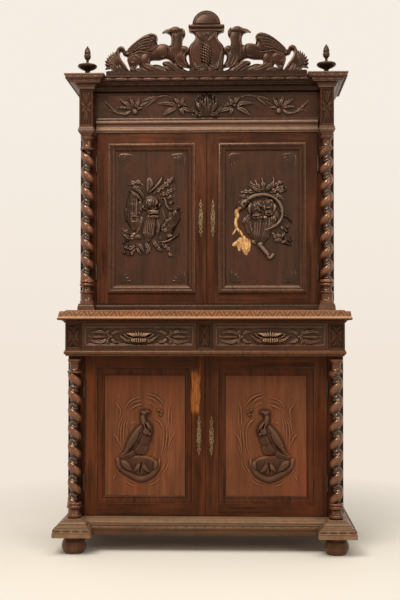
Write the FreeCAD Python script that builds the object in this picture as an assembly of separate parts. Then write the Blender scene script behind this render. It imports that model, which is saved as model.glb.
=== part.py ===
import FreeCAD, Part
import math
import os
from FreeCAD import Vector

# Hunting buffet in two bodies, in millimetres.
# X runs to the viewer's right, Y away from the viewer, Z up.
# The origin is the middle of the footprint, on the floor.

# Overall depth, and the boards that both bodies share
overall_depth = 580.0
case_board = 22.0
back_board = 12.0
shelf_board = 18.0
shelf_setback = 30.0
shelf_end_gap = 0.5
upper_shelf_shares = (0.33, 0.67)
overrun = 5.0

# Heights, from the floor up
feet_height = 80.0
lower_opening_height = 711.0
rail_height = 28.0
drawer_row_height = 118.0
waist_height = 55.0
upper_base_height = 32.0
upper_opening_height = 797.0
architrave_height = 56.0
frieze_height = 131.0
cornice_height = 59.0
crest_height = 310.0

# Widths and depths of the two cases and of what projects from them
lower_width = 1220.0
lower_depth = 449.0
lower_case_stile = 70.0
case_step = 22.0
upper_width = lower_width - 2 * case_step
upper_depth = 268.0
upper_case_stile = 73.0
lower_opening_width = lower_width - 2 * lower_case_stile
upper_opening_width = upper_width - 2 * upper_case_stile
block_projection = 80.0
side_moulding_reach = 48.0
drawer_block_width = lower_case_stile
centre_block_width = 66.0

# Twisted columns
column_radius = 29.0
twist_offset = 4.5
twist_pitch = 79.0
twist_end = 3.0
sections_per_turn = 8
column_ring_radius = 33.0
neck_radius = 21.0
neck_height = 58.0
neck_collar = 13.0
lower_column_foot = 69.0
upper_column_foot = 111.0
capital_height = 15.0
capital_width = 74.0

# Turned feet of the columns from below: form, height share and swell share of the foot's height
lower_foot_shares = [
    ("torus", 0.3, 0.1), ("drum", 0.3, -0.12), ("torus", 0.25, 0.1), ("collar", 0.15, 0),
]
upper_foot_shares = [
    ("ring", 0.12, 0), ("drum", 0.3, 0), ("torus", 0.08, 0.04), ("neck", 0.18, 0), ("torus", 0.17, 0.06),
    ("collar", 0.15, 0),
]

# Bun feet
foot_radius = 55.0
foot_sole_radius = 40.0
foot_collar_radius = 45.0
foot_collar_height = 14.0
rear_foot_inset_x = 45.0
rear_foot_inset_y = 70.0

# Base moulding: each step's height and how far it stands out
lower_step_height = 49.0
middle_step_height = 18.0
top_step_height = 6.0
block_front_reach = 131.0
block_side_half = 84.0
middle_step_half = 60.0
top_step_half = 39.0
front_run_reach = 50.0
front_run_middle_reach = 31.0
front_run_top_reach = 14.0
side_run_middle_reach = 24.0
side_run_top_reach = 6.0
base_rail_width = 110.0

# Rail moulding under the drawers
rail_front_reach = 7.0
rail_side_reach = 6.0
rail_edge_round = 9.0

# Drawers
drawer_gap = 2.0
drawer_front_thickness = 24.0
drawer_side_thickness = 12.0
drawer_bottom_thickness = 8.0
drawer_box_length = 400.0
drawer_box_drop = 12.0
drawer_running_gap = 0.5
drawer_side_gap = 1.0
drawer_bead_width = 9.0
drawer_bead_proud = 3.0
drawer_bead_margin = 14.0
pull_length = 176.0
pull_radius = 19.0
pull_boss_radius = 26.0
pull_leaf_width = 30.0
pull_leaf_thickness = 11.0
pull_leaf_reach_share = 0.75
pull_fullest_share = 0.5
guide_height = 40.0

# Waist board: heights of its mouldings from below, and their reaches
waist_cove_height = 12.0
waist_lip_height = 12.0
waist_slope_height = 28.0
waist_front_reach = 48.0
waist_side_reach = 28.0
waist_slope_run = 28.0
waist_foot_reach = 4.0

# Doors
door_gap = 2.0
door_thickness = 22.0
lower_stile_width = 54.0
lower_rail_width = 52.0
lower_bevel_width = 36.0
lower_panel_sink = 12.0
lower_panel_thickness = 8.0
upper_stile_width = 54.0
upper_rail_width = 49.0
bolection_width = 36.0
bolection_proud = 8.0
bolection_flat = 12.0
upper_panel_sink = 5.0
upper_panel_thickness = 12.0

# Hinges
hinge_axis_proud = 6.5
knuckle_radius = 5.0
pin_radius = 2.0
pin_clearance = 0.05
knuckle_length = 24.0
knuckle_gap = 0.4
hinge_length = 3 * knuckle_length + 2 * knuckle_gap
leaf_thickness = 0.8
leaf_depth = 16.0
hinge_inset = 110.0

# Locks, bolts and escutcheons
lock_width = 42.0
lock_height = 80.0
lock_depth = 14.0
bolt_height = 16.0
bolt_thickness = 6.0
bolt_length = 30.0
bolt_clearance = 0.3
escutcheon_height = 180.0
escutcheon_width = 22.0
escutcheon_thickness = 2.0
keyhole_radius = 3.5
keyhole_slot_width = 3.0
keyhole_slot_length = 9.0
escutcheon_outline_shares = [
    (0, 1), (0.45, 0.82), (0.7, 0.62), (0.45, 0.42), (1, 0.18),
    (1, -0.18), (0.45, -0.42), (0.7, -0.62), (0.45, -0.82), (0, -1),
]

# Upper base moulding, frieze blocks and their capitals
upper_base_front_reach = 30.0
upper_base_block_reach = 10.0
upper_base_side_reach = 5.0
upper_base_chamfer = 8.0
frieze_block_width = 62.0
frieze_block_inset = 6.0
frieze_capital_height = 42.0
frieze_capital_reach = 6.0
architrave_reach = 18.0
architrave_fillet = 14.0
frieze_reach = 22.0

# Cornice
cornice_reach = 60.0
cornice_side_reach = 54.0
cornice_foot_reach = 6.0
cornice_fillet_share = 0.34
cornice_cove_share = 0.55
cornice_top_share = 0.82

# Crest and finials
crest_finial_gap = 79.0
crest_thickness = 30.0
crest_rail_height = 27.0
crest_rail_thickness = 40.0
crest_rail_end = 10.0
finial_height = 150.0
finial_bowl_radius = 45.0
finial_foot_radius = 34.0
dome_radius = 65.0
dome_rise = 68.0
abacus_height = 31.0
abacus_half_width = 83.0
plaque_belly_half_width = 80.0
plaque_thickness = 34.0
cone_radius = 24.0
cone_height = 106.0
cone_fullest_share = 0.4

# Carved reliefs
relief_depth = 22.0
leaf_depth_low = 6.0
wreath_margin = 36.5
wreath_end_margin = 35.5
wreath_band = 9.0
bird_half_width = 79.0
bird_half_height = 165.0
trophy_margin = 29.0
trophy_half_height = 182.0
horn_ring_share = 0.55
horn_tube_radius = 8.0
frieze_carving_margin = 35.0
frieze_carving_half_height = 52.0

# Levels worked out from the heights
base_top = feet_height + lower_step_height + middle_step_height + top_step_height
rail_foot = base_top + lower_opening_height
rail_top = rail_foot + rail_height
drawer_top = rail_top + drawer_row_height
waist_top = drawer_top + waist_height
upper_base_top = waist_top + upper_base_height
architrave_foot = upper_base_top + upper_opening_height
frieze_foot = architrave_foot + architrave_height
cornice_foot = frieze_foot + frieze_height
cornice_top = cornice_foot + cornice_height

# Planes worked out from the depths
back_y = overall_depth / 2
lower_face_y = back_y - lower_depth
upper_face_y = back_y - upper_depth
lower_block_y = lower_face_y - block_projection
upper_block_y = upper_face_y - block_projection
lower_column_y = (lower_face_y + lower_block_y) / 2
upper_column_y = (upper_face_y + upper_block_y) / 2
lower_column_x = (lower_width - drawer_block_width) / 2
upper_block_x = upper_width / 2 - frieze_block_inset - frieze_block_width / 2

# Half widths worked out from the widths
crest_half_width = upper_block_x - crest_finial_gap
crest_rail_half_width = crest_half_width - crest_rail_end
frieze_carving_half_width = upper_opening_width / 2 - frieze_carving_margin
lower_door_width = lower_opening_width / 2 - door_gap - door_gap / 2
lower_door_height = lower_opening_height - 2 * door_gap
upper_door_width = upper_opening_width / 2 - door_gap - door_gap / 2
wreath_half_width = lower_door_width / 2 - lower_stile_width - lower_bevel_width - wreath_margin
wreath_half_height = lower_door_height / 2 - lower_rail_width - lower_bevel_width - wreath_end_margin
trophy_half_width = upper_door_width / 2 - upper_stile_width - bolection_width - trophy_margin


def box(x0, x1, y0, y1, z0, z1):
    """A box between two corners."""
    return Part.makeBox(x1 - x0, y1 - y0, z1 - z0, Vector(x0, y0, z0))


def mirrored(shape):
    """The same piece on the other side of the middle."""
    return shape.mirror(Vector(0, 0, 0), Vector(1, 0, 0))


def both_sides(shape):
    """A piece and its mirror image."""
    return [shape, mirrored(shape)]


def fused(shapes):
    """One solid from overlapping ones."""
    whole = shapes[0]
    for shape in shapes[1:]:
        whole = whole.fuse(shape)
    return whole.removeSplitter()


def polygon(points):
    """A closed wire through the points."""
    return Part.makePolygon(points + [points[0]])


def bar_along_x(outline, x0, x1):
    """An outline in Y and Z, run along X."""
    face = Part.Face(polygon([Vector(x0, y, z) for y, z in outline]))
    return face.extrude(Vector(x1 - x0, 0, 0))


def bar_along_y(outline, y0, y1):
    """An outline in X and Z, run along Y."""
    face = Part.Face(polygon([Vector(x, y0, z) for x, z in outline]))
    return face.extrude(Vector(0, y1 - y0, 0))


def rectangle(x0, x1, y0, y1, z):
    """The corners of a level rectangle."""
    return [Vector(x0, y0, z), Vector(x1, y0, z), Vector(x1, y1, z), Vector(x0, y1, z)]


def solid_between(first, last):
    """A flat-faced solid from one outline's corners to another's."""
    faces = [Part.Face(polygon(first)), Part.Face(polygon(last))]
    for index, corner in enumerate(first):
        following = (index + 1) % len(first)
        faces.append(Part.Face(polygon([corner, first[following], last[following], last[index]])))
    solid = Part.Solid(Part.Shell(faces))
    if solid.Volume < 0:
        solid.reverse()
    return solid


def arc_edge(start, middle, end):
    """A round stretch of an outline, as a spline edge."""
    return Part.Arc(start, middle, end).toBSpline().toShape()


def tapered_slab(levels):
    """A block whose plan changes from level to level: (z, x0, x1, y0, y1)."""
    plans = [rectangle(x0, x1, y0, y1, z) for z, x0, x1, y0, y1 in levels]
    return fused([solid_between(low, high) for low, high in zip(plans, plans[1:])])


def turned(x, y, z, start_radius, steps):
    """A turning about a vertical axis. Each step is (height, end radius, bulge)."""
    edges = [Part.makeLine(Vector(0, 0, z), Vector(start_radius, 0, z))]
    radius = start_radius
    level = z
    for height, end_radius, bulge in steps:
        if not height and end_radius == radius:
            continue
        start = Vector(radius, 0, level)
        end = Vector(end_radius, 0, level + height)
        if bulge:
            edges.append(arc_edge(start, (start + end) / 2 + Vector(bulge, 0, 0), end))
        else:
            edges.append(Part.makeLine(start, end))
        radius = end_radius
        level = level + height
    if radius:
        edges.append(Part.makeLine(Vector(radius, 0, level), Vector(0, 0, level)))
    edges.append(Part.makeLine(Vector(0, 0, level), Vector(0, 0, z)))
    solid = Part.Face(Part.Wire(edges)).revolve(Vector(0, 0, 0), Vector(0, 0, 1), 360)
    solid.translate(Vector(x, y, 0))
    return solid


def mitred_frame(x0, x1, z0, z1, profile):
    """Four mitred strips inside a rectangle. The profile is (inset from the edge, y)."""
    corners = [(x0, z0, 1, 1), (x1, z0, -1, 1), (x1, z1, -1, -1), (x0, z1, 1, -1)]
    strips = []
    for index in range(len(corners)):
        ends = []
        for x, z, turn_x, turn_z in (corners[index], corners[(index + 1) % len(corners)]):
            ends.append([Vector(x + turn_x * inset, y, z + turn_z * inset) for inset, y in profile])
        strips.append(solid_between(ends[0], ends[1]))
    return strips


def spindle(start, end, radius, fullest_share, face_y):
    """A carved half-round lump along a line on a panel, flat where it meets the panel."""
    x0, z0 = start
    x1, z1 = end
    length = math.hypot(x1 - x0, z1 - z0)
    fullest = length * fullest_share
    quarter = math.sqrt(0.5)
    rise = length - fullest
    foot = Vector(0, 0, 0)
    widest = Vector(radius, 0, fullest)
    tip = Vector(0, 0, length)
    low = arc_edge(foot, Vector(radius * quarter, 0, fullest * (1 - quarter)), widest)
    high = arc_edge(widest, Vector(radius * quarter, 0, fullest + rise * quarter), tip)
    outline = Part.Face(Part.Wire([low, high, Part.makeLine(tip, foot)]))
    solid = outline.revolve(Vector(0, 0, 0), Vector(0, 0, 1), -180)
    solid.rotate(Vector(0, 0, 0), Vector(0, 1, 0), math.degrees(math.atan2(x1 - x0, z1 - z0)))
    solid.translate(Vector(x0, face_y, z0))
    return solid


def leaf(start, end, width, depth, face_y):
    """A flat pointed leaf between two points on a panel."""
    x0, z0 = start
    x1, z1 = end
    length = math.hypot(x1 - x0, z1 - z0)
    side_x = (z1 - z0) / length * width / 2
    side_z = -(x1 - x0) / length * width / 2
    middle_x = (x0 + x1) / 2
    middle_z = (z0 + z1) / 2
    foot = Vector(x0, face_y, z0)
    tip = Vector(x1, face_y, z1)
    right = Part.Arc(foot, Vector(middle_x + side_x, face_y, middle_z + side_z), tip)
    left = Part.Arc(tip, Vector(middle_x - side_x, face_y, middle_z - side_z), foot)
    return Part.Face(Part.Wire([right.toShape(), left.toShape()])).extrude(Vector(0, -depth, 0))


def ring_on_panel(x, z, ring_radius, tube_radius, face_y):
    """A half-round ring lying on a panel."""
    inner = Vector(ring_radius - tube_radius, 0, 0)
    outer = Vector(ring_radius + tube_radius, 0, 0)
    arc = Part.Arc(inner, Vector(ring_radius, -tube_radius, 0), outer).toShape()
    half_disc = Part.Face(Part.Wire([arc, Part.makeLine(outer, inner)]))
    ring = half_disc.revolve(Vector(0, 0, 0), Vector(0, 1, 0), 360)
    ring.translate(Vector(x, face_y, z))
    return ring


def smooth_plate(points, y0, thickness):
    """A plate with a smooth closed outline in X and Z."""
    curve = Part.BSplineCurve()
    curve.interpolate([Vector(x, y0, z) for x, z in points], True)
    return Part.Face(Part.Wire([curve.toShape()])).extrude(Vector(0, thickness, 0))


def save(name, shapes):
    """Write one node as a STEP file."""
    Part.makeCompound(shapes).exportStep(os.path.join("parts", name + ".step"))


def bun_foot(x, y):
    """A turned bun foot that reaches from the floor to the base."""
    bun_height = feet_height - foot_collar_height
    bulge = foot_radius - (foot_sole_radius + foot_collar_radius) / 2
    steps = [(bun_height, foot_collar_radius, bulge), (foot_collar_height, foot_collar_radius, 0)]
    return turned(x, y, 0, foot_sole_radius, steps)


def make_feet():
    """Two bun feet under the base blocks, and two at the back."""
    rear_x = lower_width / 2 - rear_foot_inset_x
    rear_y = back_y - rear_foot_inset_y
    front = bun_foot(lower_column_x, lower_column_y)
    save("bun_feet", both_sides(front) + both_sides(bun_foot(rear_x, rear_y)))


def make_base():
    """The stepped base: corner blocks, the runs between them and the frame behind."""
    half = lower_width / 2
    level_1 = feet_height + lower_step_height
    level_2 = level_1 + middle_step_height
    outer = half + side_moulding_reach
    inner = lower_column_x - block_side_half
    x = lower_column_x
    block = fused([
        box(inner, outer, lower_face_y - block_front_reach, lower_face_y, feet_height, level_1),
        box(x - middle_step_half, x + middle_step_half, lower_column_y - middle_step_half, lower_face_y,
            level_1, level_2),
        box(x - top_step_half, x + top_step_half, lower_column_y - top_step_half, lower_face_y,
            level_2, base_top),
    ])
    front = [
        (lower_face_y, feet_height), (lower_face_y - front_run_reach, feet_height),
        (lower_face_y - front_run_reach, level_1), (lower_face_y - front_run_middle_reach, level_1),
        (lower_face_y - front_run_top_reach, level_2), (lower_face_y - front_run_top_reach, base_top),
        (lower_face_y, base_top),
    ]
    side = [
        (half, feet_height), (outer, feet_height), (outer, level_1), (half + side_run_middle_reach, level_1),
        (half + side_run_top_reach, level_2), (half + side_run_top_reach, base_top), (half, base_top),
    ]
    runs = [bar_along_x(front, -inner, inner)] + both_sides(bar_along_y(side, lower_face_y, back_y))
    save("base_mouldings", both_sides(block) + runs)
    frame_top = base_top - case_board
    cross = half - base_rail_width
    save("base_frame", [
        box(-half, half, lower_face_y, lower_face_y + base_rail_width, feet_height, frame_top),
        box(-half, half, back_y - base_rail_width, back_y, feet_height, frame_top),
    ] + both_sides(
        box(cross, half, lower_face_y + base_rail_width, back_y - base_rail_width, feet_height, frame_top)
    ))


def shelf_on_battens(z, inside, face_back, back_front):
    """A loose shelf on a batten at each end."""
    front = face_back + shelf_setback
    shelf = box(-inside + shelf_end_gap, inside - shelf_end_gap, front, back_front, z, z + shelf_board)
    return [shelf] + both_sides(box(inside - case_board, inside, front, back_front, z - case_board, z))


def make_lower_case():
    """The boards of the lower case, with its face frame and shelf."""
    half = lower_width / 2
    inside = half - case_board
    stile = lower_opening_width / 2
    face_back = lower_face_y + case_board
    back_front = back_y - back_board
    floor_foot = base_top - case_board
    shelf_z = base_top + lower_opening_height / 2
    return {
        "bottom_boards": [box(-inside, inside, face_back, back_front, floor_foot, base_top)],
        "case_sides": both_sides(box(inside, half, face_back, back_y, floor_foot, drawer_top)),
        "back_boards": [box(-inside, inside, back_front, back_y, floor_foot, drawer_top)],
        "face_frames": both_sides(
            box(stile, half, lower_face_y, face_back, floor_foot, rail_foot)
        ) + [box(-stile, stile, lower_face_y, face_back, floor_foot, base_top)],
        "shelves": shelf_on_battens(shelf_z, inside, face_back, back_front),
    }


def make_rail_and_drawer_frame():
    """The rail moulding, the drawer floor, the carved blocks and what guides the drawers."""
    half = lower_width / 2
    inside = half - case_board
    opening = lower_opening_width / 2
    face_back = lower_face_y + case_board
    back_front = back_y - back_board
    rail_y = lower_block_y - rail_front_reach
    ends = half + rail_side_reach
    rail = box(-ends, ends, rail_y, face_back, rail_foot, rail_top)
    edges = [
        edge for edge in rail.Edges
        if abs(edge.CenterOfMass.y - rail_y) < overrun and edge.BoundBox.XLength > half
    ]
    rail = rail.makeFillet(rail_edge_round, edges)
    save("drawer_rail_moulding", [rail] + both_sides(
        box(half, ends, face_back, back_y, rail_foot, rail_top)
    ))
    capital = capital_width / 2
    lower_capital = box(lower_column_x - capital, lower_column_x + capital, lower_column_y - capital,
                        lower_face_y, rail_foot - capital_height, rail_foot)
    block_inner = half - drawer_block_width
    centre = centre_block_width / 2
    save("drawer_row_blocks", both_sides(
        box(block_inner, half, lower_block_y, face_back, rail_top, drawer_top)
    ) + [box(-centre, centre, lower_block_y, face_back, rail_top, drawer_top)])
    partition = case_board / 2
    save("drawer_floor", [box(-inside, inside, face_back, back_front, rail_top - case_board, rail_top)])
    guide_top = rail_top + guide_height
    save("drawer_guides", [
        box(-partition, partition, face_back, back_front, rail_top, drawer_top),
    ] + both_sides(
        box(partition, centre, face_back, back_front, rail_top, guide_top)
    ) + both_sides(
        box(opening, inside, face_back, back_front, rail_top, guide_top)
    ))
    return both_sides(lower_capital)


def make_waist():
    """The waist board with its sloped, moulded edge."""
    half = lower_width / 2
    level_1 = drawer_top + waist_cove_height
    level_2 = level_1 + waist_lip_height
    level_3 = level_2 + waist_slope_height
    foot_x = half + waist_foot_reach
    foot_y = lower_block_y - waist_foot_reach
    lip_x = half + waist_side_reach
    lip_y = lower_block_y - waist_front_reach
    top_x = lip_x - waist_slope_run
    top_y = lip_y + waist_slope_run
    save("waist_board", [tapered_slab([
        (drawer_top, -foot_x, foot_x, foot_y, back_y),
        (level_1, -lip_x, lip_x, lip_y, back_y),
        (level_2, -lip_x, lip_x, lip_y, back_y),
        (level_3, -top_x, top_x, top_y, back_y),
        (waist_top, -top_x, top_x, top_y, back_y),
    ])])


def make_drawer(side, name):
    """One drawer: its front, box and carved leaf pull. Side is -1 for left, 1 for right."""
    centre = centre_block_width / 2
    opening = lower_opening_width / 2
    x0 = centre + drawer_gap
    x1 = opening - drawer_gap
    z0 = rail_top + drawer_gap
    z1 = drawer_top - drawer_gap
    front_y = lower_block_y
    box_y = front_y + drawer_front_thickness
    front = box(x0, x1, front_y, box_y, z0, z1)
    margin = drawer_bead_margin
    bead = mitred_frame(x0 + margin, x1 - margin, z0 + margin, z1 - margin, [
        (0, front_y), (0, front_y - drawer_bead_proud),
        (drawer_bead_width, front_y - drawer_bead_proud), (drawer_bead_width, front_y),
    ])
    bottom_z = rail_top + drawer_running_gap
    side_x0 = centre + drawer_side_gap
    side_x1 = opening - drawer_side_gap
    top_z = z1 - drawer_box_drop
    end_y = box_y + drawer_box_length
    wall = drawer_side_thickness
    floor_z = bottom_z + drawer_bottom_thickness
    drawer_box = [
        box(side_x0, side_x0 + wall, box_y, end_y, bottom_z, top_z),
        box(side_x1 - wall, side_x1, box_y, end_y, bottom_z, top_z),
        box(side_x0 + wall, side_x1 - wall, end_y - wall, end_y, bottom_z, top_z),
        box(side_x0 + wall, side_x1 - wall, box_y, end_y - wall, bottom_z, floor_z),
    ]
    middle_x = (x0 + x1) / 2
    middle_z = (z0 + z1) / 2
    reach = pull_length / 2
    tip = (middle_x + reach, middle_z)
    tail = (middle_x - reach, middle_z)
    spread = pull_boss_radius
    carving = [spindle(tail, tip, pull_radius, pull_fullest_share, front_y)]
    for turn in (-1, 1):
        root = (middle_x + turn * spread / 2, middle_z)
        for rise in (-1, 1):
            end = (middle_x + turn * reach * pull_leaf_reach_share, middle_z + rise * spread)
            carving.append(leaf(root, end, pull_leaf_width, pull_leaf_thickness, front_y))
    pull = fused(carving)
    pieces = {"front": [front] + bead, "box": drawer_box, "pull": [pull]}
    for piece, shapes in pieces.items():
        if side < 0:
            shapes = [mirrored(shape) for shape in shapes]
        save(name + "_" + piece, shapes)


def column(x, y, z0, z1, foot, foot_steps):
    """A twisted column of the right side, between turned ends."""
    collar_radius = (column_radius + column_ring_radius) / 2
    neck = [
        (neck_collar / 3, collar_radius, 0), (neck_collar / 3, collar_radius, neck_collar / 6),
        (neck_collar / 3, neck_radius, 0), (neck_height - 2 * neck_collar, neck_radius, 0),
        (neck_collar / 2, column_radius, 0), (neck_collar / 2, column_radius, 0),
    ]
    neck_z = z1 - neck_height
    twist_z0 = z0 + foot - twist_end
    twist_z1 = neck_z + twist_end
    rope_radius = column_radius - twist_offset
    turns = (twist_z1 - twist_z0) / twist_pitch
    count = max(2, round(turns * sections_per_turn))
    wires = []
    for index in range(count + 1):
        share = index / count
        angle = 2 * math.pi * turns * share
        centre = Vector(x + twist_offset * math.cos(angle), y + twist_offset * math.sin(angle),
                        twist_z0 + share * (twist_z1 - twist_z0))
        wires.append(Part.Wire([Part.makeCircle(rope_radius, centre)]))
    twist = Part.makeLoft(wires, True, False)
    low = turned(x, y, z0, column_radius, foot_steps)
    high = turned(x, y, neck_z, collar_radius, neck)
    return fused([low, twist, high])


def turned_foot(height, shares):
    """The turning steps of a column's foot."""
    ring = column_ring_radius
    radii = {"ring": ring, "drum": column_radius, "neck": neck_radius, "collar": (column_radius + ring) / 2}
    steps = []
    for form, height_share, swell_share in shares:
        swell = height * swell_share
        radius = ring - swell if form == "torus" else radii[form]
        steps += [(0, radius, 0), (height * height_share, radius, swell)]
    return steps


def make_columns():
    """Four twisted columns, handed in pairs."""
    lower_top = rail_foot - capital_height
    upper_top = architrave_foot + capital_height - frieze_capital_height
    lower = column(lower_column_x, lower_column_y, base_top, lower_top, lower_column_foot,
                   turned_foot(lower_column_foot, lower_foot_shares))
    upper = column(upper_block_x, upper_column_y, upper_base_top, upper_top, upper_column_foot,
                   turned_foot(upper_column_foot, upper_foot_shares))
    save("lower_right_column", [lower])
    save("lower_left_column", [mirrored(lower)])
    save("upper_right_column", [upper])
    save("upper_left_column", [mirrored(upper)])


def hinge_halves(x, y, z):
    """A butt hinge of a right door: the case half holds the pin, the door half turns on it."""
    third = knuckle_length
    total = hinge_length
    low = Part.makeCylinder(knuckle_radius, third, Vector(x, y, z))
    high = Part.makeCylinder(knuckle_radius, third, Vector(x, y, z + 2 * (third + knuckle_gap)))
    pin = Part.makeCylinder(pin_radius, total, Vector(x, y, z))
    leaf_y = y + pin_radius + knuckle_gap
    face_y = y + hinge_axis_proud
    leaf_end = face_y + leaf_depth
    seam = door_gap / 2
    case_x = x + seam - leaf_thickness
    door_x = x - seam
    case_leaf = [
        box(case_x, x + seam, leaf_y, leaf_end, z, z + third),
        box(case_x, x + seam, leaf_y, leaf_end, z + total - third, z + total),
        box(case_x, x + seam, face_y, leaf_end, z, z + total),
    ]
    case_half = fused([low, pin, high] + case_leaf)
    middle_z = z + third + knuckle_gap
    knuckle = Part.makeCylinder(knuckle_radius, third, Vector(x, y, middle_z))
    bore = Part.makeCylinder(pin_radius + pin_clearance, third, Vector(x, y, middle_z))
    door_leaf = box(door_x, door_x + leaf_thickness, leaf_y, leaf_end, middle_z, middle_z + third)
    door_half = fused([knuckle.cut(bore), door_leaf])
    return case_half, door_half


def escutcheon(x, z, face_y):
    """A tall plate with spires and a keyhole, on the meeting stile."""
    half_w = escutcheon_width / 2
    half_h = escutcheon_height / 2
    outline = [(x + across * half_w, z + up * half_h) for across, up in escutcheon_outline_shares]
    outline = outline + [(2 * x - px, pz) for px, pz in reversed(outline[1:-1])]
    plate = bar_along_y(outline, face_y - escutcheon_thickness, face_y)
    slot_half = keyhole_slot_width / 2
    deep = escutcheon_thickness + 2 * overrun
    start = face_y - escutcheon_thickness - overrun
    hole = Part.makeCylinder(keyhole_radius, deep, Vector(x, start, z), Vector(0, 1, 0))
    slot = box(x - slot_half, x + slot_half, start, start + deep, z - keyhole_slot_length, z)
    return plate.cut(hole).cut(slot)


def rim_lock(x, z, back_face_y):
    """A lock case on the back of the right door, and the bolt that slides out of it to the left."""
    lock = box(x, x + lock_width, back_face_y, back_face_y + lock_depth,
               z - lock_height / 2, z + lock_height / 2)
    bolt_y0 = back_face_y + (lock_depth - bolt_thickness) / 2
    bolt_y1 = bolt_y0 + bolt_thickness
    tunnel = box(
        x - overrun, x + bolt_length + bolt_clearance, bolt_y0 - bolt_clearance, bolt_y1 + bolt_clearance,
        z - bolt_height / 2 - bolt_clearance, z + bolt_height / 2 + bolt_clearance
    )
    bolt = box(x, x + bolt_length, bolt_y0, bolt_y1, z - bolt_height / 2, z + bolt_height / 2)
    return lock.cut(tunnel), bolt


def door_sizes(level):
    """The sizes that differ between the lower and the upper doors."""
    if level == "lower":
        return {
            "outer": lower_opening_width / 2, "foot": base_top, "top": rail_foot,
            "face": lower_face_y, "stile": lower_stile_width, "rail": lower_rail_width,
        }
    return {
        "outer": upper_opening_width / 2, "foot": upper_base_top, "top": architrave_foot,
        "face": upper_face_y, "stile": upper_stile_width, "rail": upper_rail_width,
    }


def make_door(level, side, carving):
    """One door with its frame, mouldings, panel, carving, plate and hinge halves."""
    sizes = door_sizes(level)
    face = sizes["face"]
    back = face + door_thickness
    x0 = door_gap / 2
    x1 = sizes["outer"] - door_gap
    z0 = sizes["foot"] + door_gap
    z1 = sizes["top"] - door_gap
    in_x0 = x0 + sizes["stile"]
    in_x1 = x1 - sizes["stile"]
    in_z0 = z0 + sizes["rail"]
    in_z1 = z1 - sizes["rail"]
    frame = [
        box(x0, in_x0, face, back, z0, z1),
        box(in_x1, x1, face, back, z0, z1),
        box(in_x0, in_x1, face, back, z0, in_z0),
        box(in_x0, in_x1, face, back, in_z1, z1),
    ]
    if level == "lower":
        width = lower_bevel_width
        panel_y = face + lower_panel_sink
        panel_back = panel_y + lower_panel_thickness
        profile = [(0, face), (0, back), (width, back), (width, panel_y)]
    else:
        width = bolection_width
        panel_y = face + upper_panel_sink
        panel_back = panel_y + upper_panel_thickness
        profile = [
            (0, face - bolection_proud), (0, back), (width, back), (width, panel_y),
            (bolection_flat, face - bolection_proud),
        ]
    moulding = mitred_frame(in_x0, in_x1, in_z0, in_z1, profile)
    panel = box(in_x0 + width, in_x1 - width, panel_y, panel_back, in_z0 + width, in_z1 - width)
    middle_x = (in_x0 + in_x1) / 2
    middle_z = (in_z0 + in_z1) / 2
    plate_x = x0 + sizes["stile"] / 2
    plate = escutcheon(plate_x, middle_z, face)
    hinge_x = sizes["outer"] - door_gap / 2
    hinge_y = face - hinge_axis_proud
    case_halves = []
    door_halves = []
    for hinge_z in (z0 + hinge_inset, z1 - hinge_inset - hinge_length):
        case_half, door_half = hinge_halves(hinge_x, hinge_y, hinge_z)
        case_halves.append(case_half)
        door_halves.append(door_half)
    name = level + ("_left" if side < 0 else "_right") + "_door"
    pieces = {
        "_frame": frame + moulding, "_panel": [panel], "_escutcheon": [plate], "_hinge_halves": door_halves,
    }
    for piece, shapes in pieces.items():
        if side < 0:
            shapes = [mirrored(shape) for shape in shapes]
        save(name + piece, shapes)
    save(name + "_carving", carving(side * middle_x, middle_z, panel_y))
    if side > 0:
        lock, bolt = rim_lock(x0, middle_z, back)
        save(level + "_lock_case", [lock])
        save(level + "_lock_bolt", [bolt])
    return [mirrored(half) for half in case_halves] if side < 0 else case_halves


# Lumps of a relief: start and end as shares of its half width and half height from its middle,
# greatest radius as a share of its half width, and where along its length it is fullest
bird_lump_shares = [
    ((-1, -1.06), (1, -1.06), 0.28, 0.5), ((-1.08, -0.7), (0.42, 0.22), 0.32, 0.62),
    ((0.08, -0.1), (0.25, 0.62), 0.22, 0.4), ((0, 0.54), (0.58, 0.58), 0.17, 0.4),
    ((0, -1), (0.08, -0.2), 0.14, 0.5),
]
hare_lump_shares = [
    ((-0.05, 0.95), (0.05, -0.5), 0.22, 0.6), ((-0.15, 0.6), (-0.85, 0.55), 0.11, 0.4),
    ((0.1, 0.5), (0.75, 0.85), 0.11, 0.4), ((0.25, 0.25), (0.8, -0.75), 0.16, 0.35),
    ((-0.2, 0.3), (-0.75, -0.35), 0.16, 0.4),
]
horn_lump_shares = [
    ((-0.3, 0.5), (-0.15, -0.2), 0.24, 0.5), ((0.3, 0.5), (0.1, -0.1), 0.21, 0.4),
    ((-0.2, 0), (0.05, -0.75), 0.19, 0.4), ((-0.1, -0.55), (0.35, -0.95), 0.1, 0.5),
]
# Leaves of a relief: start, end, and width as a share of its half width
hare_leaf_shares = [
    ((0, -0.2), (-0.8, -0.9), 0.32), ((0, -0.3), (-0.1, -1), 0.32), ((0, -0.2), (0.55, -0.95), 0.32),
]
horn_leaf_shares = [
    ((0, 0.35), (-0.45, 0.8), 0.29), ((0, 0.35), (0.05, 0.98), 0.29), ((0.1, 0.35), (0.65, 0.85), 0.29),
    ((0.1, -0.35), (0.95, -0.45), 0.39),
]
horn_ring_centre_shares = (0.05, 0.12)


def relief(centre, halves, full, face_y, lump_shares, leaf_shares):
    """The lumps and leaves of a relief on a panel. Their thickness follows the length full."""

    def place(shares):
        return (centre[0] + shares[0] * halves[0], centre[1] + shares[1] * halves[1])

    lumps = []
    for start, end, radius_share, fullest_share in lump_shares:
        lumps.append(spindle(place(start), place(end), full * radius_share, fullest_share, face_y))
    for start, end, width_share in leaf_shares:
        lumps.append(leaf(place(start), place(end), full * width_share, leaf_depth_low, face_y))
    return lumps


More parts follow.
